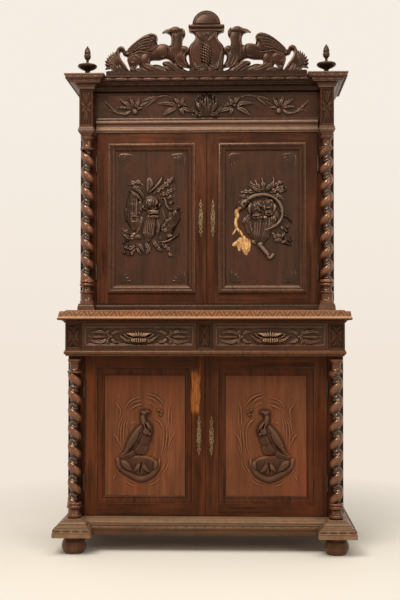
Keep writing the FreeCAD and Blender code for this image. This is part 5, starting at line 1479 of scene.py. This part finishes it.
def make_drawer_front(side):
    """A drawer front: beaded field with leaf sprays, and the leaf pull carved proud of it."""
    x0, x1 = (35, 538) if side == "right" else (-538, -35)
    cx = (x0 + x1) / 2
    sheet_scale, sheet_middle = 0.4317, 725
    field = Carving(x0, x1, 894, 1008, 1.9, (sheet_scale, cx - sheet_middle * sheet_scale, 1119.4))
    x, z = field.across - cx, field.up - 951
    rim = np.minimum(251.5 - np.abs(x), 57 - np.abs(z))
    field.height += 1.8 * np.sqrt(np.clip(1 - ((rim - 16) / 4.0) ** 2, 0, 1))
    field.height -= 3.0 * np.clip((rim - 20.0) / 4, 0, 1)

    def both(draw, points, *sizes):
        draw(points, *sizes)
        draw([(2 * sheet_middle - px, pz) for px, pz in points], *sizes)

    for points, width, height in (
        ([(418, 380), (340, 344), (228, 352)], 9, 9), ([(418, 412), (335, 450), (226, 436)], 10, 9.5),
        ([(400, 396), (310, 398), (196, 392)], 6.5, 7.5), ([(440, 382), (484, 348), (548, 344)], 8, 9),
        ([(440, 410), (484, 446), (540, 450)], 8, 9), ([(424, 378), (398, 350), (432, 328)], 6.5, 9),
        ([(424, 414), (400, 446), (436, 468)], 6.5, 9),
    ):
        both(field.leaf, points, width, height, 0, -3, 0.32)
    for px, pz in ((418, 388), (440, 396), (420, 408)):
        field.lump(px, pz, 6.5, 6.5, 10, 0, -2)
        field.lump(2 * sheet_middle - px, pz, 6.5, 6.5, 10, 0, -2)
    both(field.leaf, [(668, 448), (596, 430), (548, 396), (512, 376)], 7.5, 13, 0, 0, 0.3)
    both(field.leaf, [(640, 410), (596, 388), (566, 352)], 6, 11, 0, 0, 0.3)
    field.lump(725, 412, 52, 21, 12)
    for k in range(7):
        lean = -54 + 18 * k
        field.leaf([(725 + 1.0 * lean, 408), (725 + 1.3 * lean, 434), (725 + 0.8 * lean, 466 - abs(lean) * 0.3)],
                   4.4, 9, 0, 8.5, 0.0)
    for k in range(9):
        lean = -64 + 16 * k
        field.leaf([(725 + 0.8 * lean, 396), (725 + 1.4 * lean, 370), (725 + 2.15 * lean, 334 + abs(lean) * 0.4)],
                   4.6, 11, 0, 7.5, 0.0)
    both(field.groove, [(604, 384), (660, 400), (725, 403)], 3.0, 8)
    points, faces, wear_and_shading = field.board(LOWER_FACE, -215.0, 0.4)
    marks = {"proud": field.marked(np.clip((field.height - 9) / 8, 0, 1))}
    finished(f"{side}_drawer_carved_front", points, faces, f"{side}_drawer", drawer_oak,
             [f"{side}_drawer_front", f"{side}_drawer_pull"], 60.0, wear_and_shading, marks)


make_drawer_front("left")
make_drawer_front("right")


# Lower doors: bird among reeds


def draw_reeds(field):
    """The wreath of long reed leaves round the bird, with berries and curled tips."""
    reeds = [
        ([(205, 385), (270, 270), (370, 205), (490, 180)], 5, 5.5), ([(285, 385), (360, 328), (500, 284)], 5, 5),
        ([(240, 340), (350, 262), (505, 240)], 4, 3.5), ([(520, 124), (650, 162), (750, 232), (838, 358)], 5.5, 6),
        ([(535, 182), (650, 222), (725, 300)], 5, 4), ([(530, 262), (620, 290), (680, 360)], 4, 3),
        ([(222, 462), (165, 600), (150, 800), (188, 965)], 4, 3.6),
        ([(250, 470), (205, 600), (200, 780), (215, 930)], 4, 3.6),
        ([(275, 480), (240, 620), (232, 760), (240, 860)], 3.5, 3),
        ([(65, 240), (110, 320), (150, 390), (122, 550)], 4.5, 4.5),
        ([(190, 470), (140, 560), (115, 700), (120, 840)], 4, 3.4), ([(36, 735), (95, 795), (135, 900)], 5, 5),
        ([(300, 602), (335, 570), (388, 552)], 4, 3.5), ([(668, 505), (745, 565), (798, 680)], 5, 5),
        ([(950, 235), (895, 300), (870, 430), (872, 640)], 4.5, 4.5), ([(905, 330), (915, 500), (905, 700)], 3.6, 3),
        ([(988, 700), (925, 768), (880, 900), (872, 1050)], 4.5, 4.6),
        ([(838, 560), (846, 760), (812, 960), (770, 1090)], 4, 3.4),
        ([(792, 690), (795, 860), (765, 1000), (700, 1120)], 4, 3.2), ([(880, 640), (885, 800), (845, 980)], 3.6, 3.2),
        ([(915, 830), (905, 940), (860, 1090)], 3.6, 3), ([(60, 235), (95, 175), (175, 150)], 3.2, 2),
        ([(75, 1345), (48, 1400), (38, 1450)], 5, 4), ([(130, 830), (160, 930), (190, 990)], 4, 3.4),
        ([(660, 1010), (650, 1060), (620, 1100)], 3.6, 3), ([(730, 1060), (740, 1150), (720, 1210)], 4, 3),
        ([(70, 1180), (110, 1300), (190, 1400)], 4, 3), ([(200, 1420), (300, 1490), (430, 1520)], 4, 3),
        ([(240, 1400), (330, 1450), (440, 1480)], 3.4, 2.6), ([(880, 1080), (850, 1220), (760, 1360)], 4, 3),
        ([(830, 1120), (790, 1240), (690, 1370)], 3.6, 2.8), ([(760, 1380), (660, 1470), (520, 1510)], 4, 3),
        ([(700, 1380), (610, 1440), (500, 1470)], 3.4, 2.6), ([(290, 560), (255, 680), (262, 800)], 3.4, 2.6),
        ([(760, 560), (800, 700), (790, 850)], 3.6, 2.8), ([(180, 1010), (150, 1050), (120, 1060)], 3, 2.4),
    ]
    for points, width, height in reeds:
        field.leaf(points, 0.85 * width, 0.85 * height, 0, 0, 0.3, 0, 0.85)
    for x, z in ((720, 380), (766, 405), (750, 446)):
        field.lump(x, z, 6.5, 6.5, 8)


def draw_bird(field):
    """The bird: long neck turned to the middle of the buffet, breast plumes, folded wing, tail and a faceted mound."""
    field.lump(432, 1205, 84, 46, 15)
    field.rod([(105, 1115), (142, 1230), (300, 1335), (455, 1402), (612, 1338), (706, 1228), (738, 1120)],
              13, 14, (0.6, 0.4))
    field.leaf([(168, 1130), (250, 1210), (352, 1300)], 20, 21, 0, 0, 0.0)
    field.leaf([(462, 1160), (400, 1240), (345, 1305)], 15, 21, 0, 0, 0.0)
    field.leaf([(480, 1150), (525, 1240), (606, 1310)], 15, 19, 0, 0, 0.0)
    field.leaf([(660, 1130), (680, 1200), (640, 1290)], 13, 15, 0, 0, 0.0)
    field.groove([(470, 1150), (455, 1230), (440, 1330)], 5, 7)
    field.leaf([(420, 900), (290, 1000), (140, 1078)], 21, 16, 0, 0, 0.2)
    field.leaf([(420, 960), (300, 1040), (165, 1100)], 15, 13, 0, 0, 0.2)
    field.lump(482, 775, 36, 66, 25, -14)
    field.lump(430, 905, 46, 38, 23, -52)
    field.leaf([(470, 600), (398, 742), (318, 860), (205, 1030)], 21, 29, 0, 0, 0.0)
    for k in range(4):
        field.groove([(500 - 16 * k, 720 + 46 * k), (420 - 14 * k, 850 + 34 * k), (280 - 10 * k, 985 + 14 * k)], 3.4, 3)
    for x, z in ((452, 690), (412, 728), (366, 764), (318, 800), (284, 850), (262, 905)):
        field.lump(x, z, 6.5, 6, 29)
    field.rod([(500, 432), (490, 500), (512, 590), (540, 690)], 12, 23, (0.8, 1.6))
    for points, width in (([(512, 530), (572, 615), (604, 738)], 5.5), ([(545, 545), (602, 630), (626, 742)], 4.5),
                          ([(498, 540), (528, 640), (545, 745)], 4.5)):
        field.leaf(points, width, 32, 0, 0, 0.0)
    field.lump(590, 728, 9, 10, 31)
    field.lump(508, 420, 14, 11, 25)
    field.leaf([(500, 410), (550, 400), (610, 412)], 5.5, 24, 0, 0, 0.0)
    field.leaf([(520, 408), (470, 402), (432, 420)], 5, 23, 0, 0, 0.0)
    field.lump(520, 414, 2.6, 2.4, 28)


def framed_moulding(x0, x1, z0, z1, profile):
    """A moulding mitred round a door's opening; its profile runs from the opening's edge inwards."""
    points, faces = [], []
    for inward, y in profile:
        points += [(x0 + inward, y, z0 + inward), (x1 - inward, y, z0 + inward),
                   (x1 - inward, y, z1 - inward), (x0 + inward, y, z1 - inward)]
    for row in range(len(profile)):
        following = (row + 1) % len(profile)
        for k in range(4):
            a, b = 4 * row + k, 4 * row + (k + 1) % 4
            faces.append([a, b, 4 * following + (k + 1) % 4, 4 * following + k])
    return points, faces


def rounded(s0, s1, y0, y1, proud, steps=8):
    """A rounded part of a profile between two points, standing proud of the line between them."""
    return [(s0 + (s1 - s0) * k / steps, y0 + (y1 - y0) * k / steps - proud * math.sin(math.pi * k / steps) ** 0.7)
            for k in range(steps + 1)]


bolection = [(-0.8, 23.0), (-0.8, 15.0)] + rounded(0, 15, 14.0, 13.4, 3.4) + [(16, 14.6), (17.5, 14.8)]
bolection += rounded(18, 33.5, 16.2, 24.4, 2.0) + [(34.5, 25.2), (34.5, 27.6)]
inner_bead = [(-1.5, -157.0), (-1.5, -159.4)] + rounded(-1, 5.5, -159.6, -158.6, 2.6, 6) + [(7, -158.0)]
inner_bead += [(24, -152.2), (25, -150.8)] + rounded(26, 33, -151.0, -149.4, 2.6, 6) + [(35.4, -148.2), (35.4, -146.5)]
for level, profile, finishes in (("upper", bolection, (moulding_oak, moulding_oak)),
                                 ("lower", inner_bead, (lower_left_oak, lower_oak))):
    near, far, z0, z1 = DOOR_OPENINGS[level]
    for side, x0, x1, finish in (("left", -far, -near, finishes[0]), ("right", near, far, finishes[1])):
        points, faces = framed_moulding(x0, x1, z0, z1, profile)
        finished(f"{level}_{side}_door_moulding", points, faces, f"{level}_{side}_door",
                 finish, (), 32.0, bend_wear_and_shading(points, faces, 1.6, 0))


def panel_edges(level, side):
    """A panel's left, right, low and high edge, inside the moulding round its door's opening."""
    near, far, low, high = DOOR_OPENINGS[level]
    inset = DOOR_MOULDING_WIDTH
    left, right = (near + inset, far - inset) if side == "right" else (-far + inset, -near - inset)
    return left, right, low + inset, high - inset


def make_lower_panel(side):
    """The sunk field of a lower door with its bird and reeds."""
    corner, flip = (-419.5, -1) if side == "right" else (-422.7, 1)
    field = Carving(*panel_edges("lower", side), 1.95, (0.2974, corner, 733.3), flip)
    draw_reeds(field)
    field.height *= 1.15
    draw_bird(field)
    field.height = np.minimum(field.height, 30.0)
    points, faces, wear_and_shading = field.board(-147.0, -139.0, 0.42)
    marks = {"proud": field.marked(np.clip((field.height - 5) / 4, 0, 1))}
    finished(f"lower_{side}_door_bird_panel", points, faces, f"lower_{side}_door", bird_oak,
             [f"lower_{side}_door_panel", f"lower_{side}_door_carving"], 60.0, wear_and_shading, marks)


make_lower_panel("left")
make_lower_panel("right")


# Upper doors: hunting trophies


def draw_corners(field, x0, x1, z0, z1):
    """The leaf spray in each corner of an upper panel."""
    sheet, flip = field.sheet, field.flip
    field.sheet, field.flip = (1.0, 0.0, 0.0), 1
    inset = 15
    corners = [(x0 + inset, z0 + inset), (x1 - inset, z0 + inset), (x1 - inset, z1 - inset), (x0 + inset, z1 - inset)]
    for ax, az in corners:
        sx = 1 if ax < (x0 + x1) / 2 else -1
        sz = 1 if az < (z0 + z1) / 2 else -1
        for across, up, width in ((66, 5, 6.5), (56, 24, 8.5), (43, 43, 8), (24, 56, 8.5), (5, 66, 6.5),
                                  (34, 13, 7), (13, 34, 7)):
            field.leaf([(ax, -az), (ax + 0.5 * across * sx, -(az + 0.45 * up * sz)),
                        (ax + across * sx, -(az + up * sz))], 1.15 * width, 2.5, 0, -0.4, 0.45)
    field.sheet, field.flip = sheet, flip


def draw_hare_trophy(field):
    """Left trophy: a hare hung by its hind legs with game bag, oak leaves and a bird beside it."""
    leaf, rod, lump = field.leaf, field.rod, field.lump
    lump(560, 800, 80, 92, 7)
    lump(430, 1130, 60, 40, 5)
    lump(740, 1120, 60, 34, 5)
    rod([(345, 470), (330, 620), (338, 800), (380, 900)], 30, 15, (0.8, 0.9))
    for k in range(5):
        field.groove([(285 + 24 * k, 500), (275 + 24 * k, 640), (290 + 22 * k, 850)], 3.2, 3.5)
    rod([(232, 640), (238, 740), (240, 830)], 6, 15, (0.5, 0.7))
    rod([(280, 770), (350, 765), (430, 770)], 5, 18, (0.5, 0.5))
    rod([(290, 850), (360, 845), (440, 830)], 5, 16, (0.5, 0.5))
    leaf([(255, 292), (340, 262), (420, 250), (500, 300)], 13, 9, 3, 0, 0.3)
    leaf([(570, 185), (590, 260), (585, 330), (560, 425)], 19, 10, 0, 0, 0.3)
    leaf([(330, 300), (400, 330), (500, 400)], 8, 8, 0, 0, 0.3)
    leaf([(325, 330), (400, 365), (470, 430), (540, 565)], 9, 24, 0, 0, 0.25)
    leaf([(272, 385), (350, 420), (420, 470), (490, 555)], 9, 20, 0, 0, 0.25)
    leaf([(780, 165), (735, 262), (660, 345), (555, 430)], 7, 21, 0, 0, 0.0)
    for points, width, lobes, height in (
        ([(640, 425), (740, 350), (868, 290)], 15, 3, 12), ([(800, 345), (860, 260), (935, 190)], 15, 3, 13),
        ([(820, 420), (900, 385), (975, 365)], 14, 3, 13), ([(740, 440), (820, 430), (910, 440)], 12, 3, 11),
        ([(890, 250), (930, 210), (960, 270)], 9, 0, 10), ([(850, 500), (900, 470), (960, 480)], 10, 2, 9),
        ([(880, 590), (930, 550), (960, 570)], 8, 0, 12), ([(760, 330), (820, 300), (850, 290)], 9, 0, 14),
    ):
        leaf(points, width, height, lobes, 0, 0.35)
    lump(930, 557, 7, 6, 15)
    rod([(765, 505), (800, 490), (828, 530), (838, 590), (880, 652), (925, 660)], 5, 18, (0.4, 0.5))
    lump(605, 590, 42, 40, 24)
    lump(640, 700, 31, 19, 31)
    lump(655, 772, 26, 10, 28)
    for points, width, height in (
        ([(540, 530), (560, 590), (540, 640)], 8, 29), ([(585, 545), (600, 600), (625, 655)], 7, 32),
        ([(645, 500), (655, 560), (662, 610)], 6, 33), ([(750, 565), (740, 610), (728, 650)], 6, 30),
        ([(480, 590), (500, 640), (540, 670)], 6, 25), ([(700, 520), (705, 570), (690, 620)], 5, 28),
        ([(560, 715), (600, 690), (645, 712)], 7, 33), ([(610, 782), (670, 765), (722, 780)], 6, 32),
        ([(450, 640), (465, 670), (490, 690)], 5, 20), ([(425, 690), (440, 720), (470, 740)], 5, 19),
        ([(560, 740), (620, 735), (680, 742)], 4, 30),
    ):
        leaf(points, width, height, 0, 0, 0.0)
    for k in range(6):
        leaf([(545 + 30 * k, 520), (552 + 27 * k, 585), (575 + 20 * k, 660)], 4.5, 33 - abs(k - 2), 0, 0, 0.0)
    lump(575, 628, 5, 4, 34)
    lump(690, 650, 6, 6, 33)
    field.groove([(560, 655), (620, 665), (700, 672)], 4, 6)
    field.groove([(575, 745), (640, 742), (710, 748)], 4, 6)
    rod([(600, 800), (590, 900), (575, 1020), (560, 1100)], 31, 19, (0.9, 0.6))
    for k in range(5):
        field.groove([(530 + 30 * k, 820), (520 + 28 * k, 940), (525 + 22 * k, 1060)], 3.6, 3.6)
    rod([(470, 800), (440, 900), (400, 1010)], 13, 13, (0.8, 0.5))
    rod([(700, 820), (720, 930), (700, 1040)], 13, 12, (0.8, 0.6))
    rod([(1015, 650), (965, 760), (905, 880), (830, 1010), (790, 1080)], 30, 19, (0.35, 0.8))
    for k in range(6):
        leaf([(1015 - 6 * k, 665 + 14 * k), (985 - 26 * k, 790 + 10 * k), (925 - 32 * k, 930 + 6 * k)],
             6.5, 23, 0, 0, 0.3)
    for k in range(4):
        leaf([(985 - 24 * k, 860 + 14 * k), (930 - 24 * k, 960 + 8 * k), (870 - 24 * k, 1040)], 6.5, 22, 0, 0, 0.3)
    for points, width, height in (
        ([(1045, 645), (1010, 670), (985, 700)], 7, 24), ([(985, 690), (975, 780), (950, 860)], 8, 25),
        ([(945, 700), (930, 790), (905, 850)], 7, 24), ([(880, 790), (830, 880), (755, 965)], 8, 27),
        ([(845, 800), (835, 830), (820, 860)], 5, 27), ([(840, 870), (800, 930), (750, 980)], 6, 28),
        ([(900, 880), (860, 950), (830, 980)], 7, 26),
    ):
        leaf(points, width, height, 0, 0, 0.25)
    lump(825, 980, 20, 20, 24)
    lump(790, 975, 7, 7, 29)
    lump(880, 1060, 22, 13, 17)
    rod([(1012, 1042), (940, 1095), (840, 1140), (720, 1150)], 6, 16, (1.0, 0.5))
    for points, width, lobes, height in (
        ([(400, 1110), (310, 1085), (190, 1155)], 15, 3, 13), ([(370, 1200), (280, 1245), (175, 1185)], 15, 3, 12),
        ([(370, 1250), (310, 1320), (235, 1355)], 11, 2, 13), ([(470, 1105), (420, 1075), (350, 1100)], 10, 0, 19),
        ([(378, 1185), (440, 1200), (480, 1260), (520, 1335)], 9, 0, 16),
        ([(400, 1220), (430, 1290), (480, 1345)], 8, 0, 13),
        ([(520, 1120), (560, 1220), (610, 1310)], 12, 2, 10), ([(640, 1120), (700, 1205), (775, 1215)], 11, 0, 16),
        ([(690, 1215), (750, 1262), (800, 1275)], 9, 0, 15), ([(760, 1180), (850, 1230), (915, 1310)], 12, 3, 11),
        ([(860, 1330), (900, 1340), (940, 1370)], 8, 0, 11), ([(170, 960), (240, 990), (330, 1040)], 14, 2, 9),
        ([(180, 1020), (260, 1070), (340, 1080)], 12, 2, 9), ([(600, 1210), (560, 1290), (540, 1350)], 9, 0, 9),
    ):
        leaf(points, width, height, lobes, 0, 0.35)
    lump(213, 1308, 9, 8, 12)
    lump(200, 1160, 7, 7, 15)
    lump(790, 1190, 7, 6, 17)


def draw_horn_trophy(field):
    """Right trophy: two hounds' heads inside a hunting horn, with oak leaves and a gun butt."""
    leaf, rod, lump = field.leaf, field.rod, field.lump
    lump(630, 780, 74, 78, 7)
    rod([(555, 800), (560, 950), (545, 1120)], 27, 15, (0.9, 0.6))
    rod([(700, 820), (680, 960), (630, 1130)], 27, 13, (0.9, 0.6))
    rod([(420, 780), (430, 920), (480, 1060)], 17, 10, (0.6, 0.6))
    rod([(820, 760), (800, 860), (740, 960)], 15, 10, (0.6, 0.6))
    for k in range(6):
        field.groove([(500 + 42 * k, 840), (500 + 38 * k, 950), (505 + 28 * k, 1080)], 3.6, 3.0)
    for points, width, lobes, height in (
        ([(630, 400), (540, 372), (432, 292)], 10, 0, 19), ([(635, 390), (575, 330), (525, 225)], 11, 2, 11),
        ([(645, 385), (645, 290), (620, 190)], 11, 2, 10), ([(680, 390), (728, 335), (785, 272)], 10, 0, 18),
        ([(700, 400), (785, 310), (800, 180)], 10, 2, 9), ([(620, 430), (450, 400), (305, 405)], 15, 4, 11),
        ([(430, 455), (350, 470), (285, 455)], 11, 2, 9), ([(740, 420), (880, 350), (1005, 330)], 15, 4, 12),
        ([(800, 340), (880, 270), (960, 250)], 12, 3, 12), ([(800, 450), (880, 470), (945, 520)], 13, 3, 10),
        ([(850, 400), (940, 385), (1015, 372)], 9, 0, 11), ([(590, 340), (500, 300), (450, 250)], 9, 2, 8),
    ):
        leaf(points, width, height, lobes, 0, 0.35)
    lump(630, 455, 8, 7, 20)
    rod([(296, 632), (345, 585), (400, 540)], 19, 19, (0.9, 1))
    lump(322, 602, 19, 14, 22, -40)
    rod([(380, 560), (440, 500), (520, 462), (620, 445)], 10.5, 21, (1, 1))
    rod([(600, 446), (700, 452), (800, 490), (880, 565), (928, 680), (925, 780), (870, 870), (780, 935), (672, 975)],
        8.5, 20, (1, 0.7))
    for x, z in ((430, 508), (700, 452), (920, 700)):
        lump(x, z, 9, 9, 22)
    leaf([(395, 530), (412, 480), (432, 448)], 6, 23, 0, 0, 0.0)
    lump(530, 650, 29, 36, 24)
    lump(545, 765, 24, 21, 29)
    lump(735, 610, 28, 34, 22)
    lump(728, 715, 22, 20, 27)
    for points, width, height in (
        ([(470, 560), (440, 650), (455, 760)], 10, 22), ([(555, 535), (585, 600), (650, 640)], 8, 27),
        ([(505, 560), (520, 620), (530, 690)], 7, 29), ([(500, 700), (530, 670), (560, 700)], 6, 32),
        ([(480, 770), (510, 800), (560, 812)], 5, 32), ([(600, 770), (620, 790), (580, 812)], 6, 33),
        ([(480, 640), (500, 610), (510, 570)], 5, 27), ([(560, 640), (590, 680), (620, 720)], 6, 26),
        ([(720, 535), (765, 545), (800, 580)], 8, 28), ([(800, 570), (815, 650), (780, 730)], 9, 23),
        ([(675, 570), (710, 580), (750, 570)], 5, 27), ([(670, 640), (720, 645), (790, 630)], 6, 29),
        ([(680, 655), (730, 650), (760, 660)], 4, 28), ([(690, 705), (725, 700), (775, 680)], 5, 31),
        ([(685, 735), (725, 755), (770, 735)], 5, 31), ([(760, 760), (770, 810), (760, 850)], 7, 17),
        ([(660, 590), (665, 660), (690, 720)], 6, 22),
    ):
        leaf(points, width, height, 0, 0, 0.0)
    lump(508, 668, 4, 3.5, 31)
    lump(560, 668, 4, 3.5, 31)
    lump(540, 735, 8, 6, 34)
    lump(722, 722, 7, 5, 32)
    field.groove([(495, 775), (545, 788), (600, 765)], 4.5, 7)
    field.groove([(690, 722), (730, 738), (775, 715)], 4, 6)
    rod([(948, 762), (1000, 775), (1040, 815), (1072, 862)], 6, 14, (0.8, 0.5))
    rod([(585, 1190), (650, 1262), (715, 1345)], 11, 19, (1, 0.9))
    rod([(700, 1330), (740, 1390), (795, 1340)], 9, 14, (1, 0.8))
    lump(605, 1185, 13, 11, 19)
    for points, width, lobes, height in (
        ([(905, 905), (930, 950), (955, 985)], 6, 0, 12), ([(840, 1030), (880, 1060), (930, 1095)], 10, 0, 14),
        ([(930, 1140), (990, 1110), (1060, 1085)], 10, 0, 14), ([(800, 1122), (860, 1130), (900, 1150)], 8, 0, 12),
        ([(900, 1150), (980, 1160), (1075, 1205)], 10, 0, 14), ([(1000, 1130), (1050, 1125), (1085, 1135)], 7, 0, 12),
        ([(900, 1100), (950, 1040), (960, 990)], 8, 0, 10), ([(850, 1090), (900, 1120), (940, 1130)], 9, 0, 11),
        ([(780, 1010), (830, 1080), (880, 1140)], 10, 2, 8), ([(980, 950), (1010, 930), (1030, 900)], 7, 0, 9),
        ([(340, 880), (370, 820), (400, 770)], 9, 0, 11), ([(450, 850), (430, 780), (440, 740)], 6, 0, 13),
        ([(470, 1130), (520, 1160), (560, 1190)], 9, 0, 9), ([(330, 560), (370, 520), (400, 490)], 7, 0, 9),
    ):
        leaf(points, width, height, lobes, 0, 0.3)
    lump(990, 992, 10, 9, 14)
    bare_parts = [
        ([(300, 645), (250, 690), (240, 760)], 8, 4.0), ([(255, 700), (262, 760), (250, 820)], 7, 4.0),
        ([(240, 790), (236, 870), (252, 960)], 7, 3.6), ([(235, 960), (215, 1000), (190, 1032)], 4, 2.6),
        ([(250, 940), (310, 1010), (350, 1085)], 6, 3.2), ([(355, 1070), (390, 1130), (440, 1130)], 9, 4.0),
        ([(350, 1090), (350, 1180), (395, 1325)], 15, 5.0), ([(400, 1110), (425, 1190), (415, 1280)], 12, 5.0),
        ([(330, 1120), (270, 1160), (200, 1190)], 12, 4.2), ([(335, 1130), (300, 1200), (290, 1262)], 12, 4.4),
        ([(340, 1100), (300, 1120), (270, 1170)], 10, 4.0),
    ]
    for points, width, height in bare_parts:
        window, share, side = field.follow(points, width)
        inside = (np.abs(side) < width * 0.95 * np.clip(np.sin(np.pi * (0.1 + 0.8 * share)), 0, 1) ** 0.6)
        field.bare[window][inside] = 1.0
        leaf(points, width, height, 0, 0, 0.0, 3)


def make_upper_panel(side):
    """The field of an upper door with its hunting trophy."""
    x0, x1, z0, z1 = panel_edges("upper", side)
    field = Carving(x0, x1, z0, z1, 1.85, (0.3108, 61.2 if side == "right" else -449.2, 1741.8))
    draw_corners(field, x0, x1, z0, z1)
    if side == "right":
        draw_horn_trophy(field)
    else:
        draw_hare_trophy(field)
    field.height = np.minimum(field.height, 34.0)
    points, faces, wear_and_shading = field.board(27.0, 39.0, 0.5)
    beyond = np.maximum(np.abs(points[:, 0] - (x0 + x1) / 2) - 96, np.abs(points[:, 2] - (z0 + z1) / 2) - 225)
    lifted = field.marked(field.height > 0.4)
    wear_and_shading = np.where(beyond > 0, 0.3 * wear_and_shading - 0.25 * lifted, wear_and_shading)
    proud = field.marked(np.clip((field.height - 1) / 5, 0, 1))
    marks = {"bare": field.marked(field.bare), "proud": np.where(beyond > 0, 0.8 * lifted, proud)}
    finished(f"upper_{side}_door_trophy_panel", points, faces, f"upper_{side}_door", trophy_oak,
             [f"upper_{side}_door_panel", f"upper_{side}_door_carving"], 60.0, wear_and_shading, marks)


make_upper_panel("left")
make_upper_panel("right")


# Escutcheons


def make_escutcheon(level, side, cx, cz, face):
    """A tall pierced brass plate with spire ends and a keyhole in its middle."""
    half = [(0, 90), (1.6, 84), (3.6, 79), (2.2, 74), (4.6, 70), (8, 64), (8.4, 60), (5, 55), (3.6, 50), (6.6, 45),
            (7.2, 40), (4.6, 35), (8.4, 30), (10.6, 23), (9.6, 16), (7.4, 12), (9.4, 7), (9.6, 0)]
    right = half + [(x, -z) for x, z in reversed(half[:-1])]
    outline = [(cx + x, -(cz + z)) for x, z in right] + [(cx - x, -(cz + z)) for x, z in reversed(right[1:-1])]
    field = Carving(cx - 12, cx + 12, cz - 91, cz + 91, 0.75)
    gap = outline_distance(field, outline)
    x, z = field.across - cx, field.up - cz
    for ox, oz, wide, tall in ((0, 62, 3.0, 4.0), (0, -62, 3.0, 4.0), (0, 42, 2.0, 3.2), (0, -42, 2.0, 3.2),
                               (4.6, 23, 2.2, 4.0), (-4.6, 23, 2.2, 4.0), (4.6, -23, 2.2, 4.0), (-4.6, -23, 2.2, 4.0)):
        gap = np.maximum(gap, 1.0 - np.minimum(2.0, np.hypot((x - ox) / wide, (z - oz) / tall)) * 1.0)
    key = np.minimum(np.hypot(x, z - 2) - 2.8, np.maximum(np.abs(x) - 1.3, np.abs(z + 3) - 5))
    gap = np.maximum(gap, -key)
    field.height = 0.9 * (1 - np.exp(np.clip(gap, None, 0) / 1.3))
    ring = np.hypot(x, z * 0.75)
    field.height += 0.8 * np.clip(1 - ((ring - 7) / 1.6) ** 2, 0, 1)
    points, faces, wear_and_shading = field.pierced(gap, face - 0.6, face + 0.6, 0.8)
    finished(f"{level}_{side}_pierced_escutcheon", points, faces, f"{level}_{side}_door", old_brass,
             [f"{level}_{side}_door_escutcheon"], 50.0, wear_and_shading)


for side in ("left", "right"):
    for level in ("lower", "upper"):
        low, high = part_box(f"{level}_{side}_door_escutcheon")
        make_escutcheon(level, side, (low[0] + high[0]) * 500, (low[2] + high[2]) * 500, high[1] * 1000 - 0.6)


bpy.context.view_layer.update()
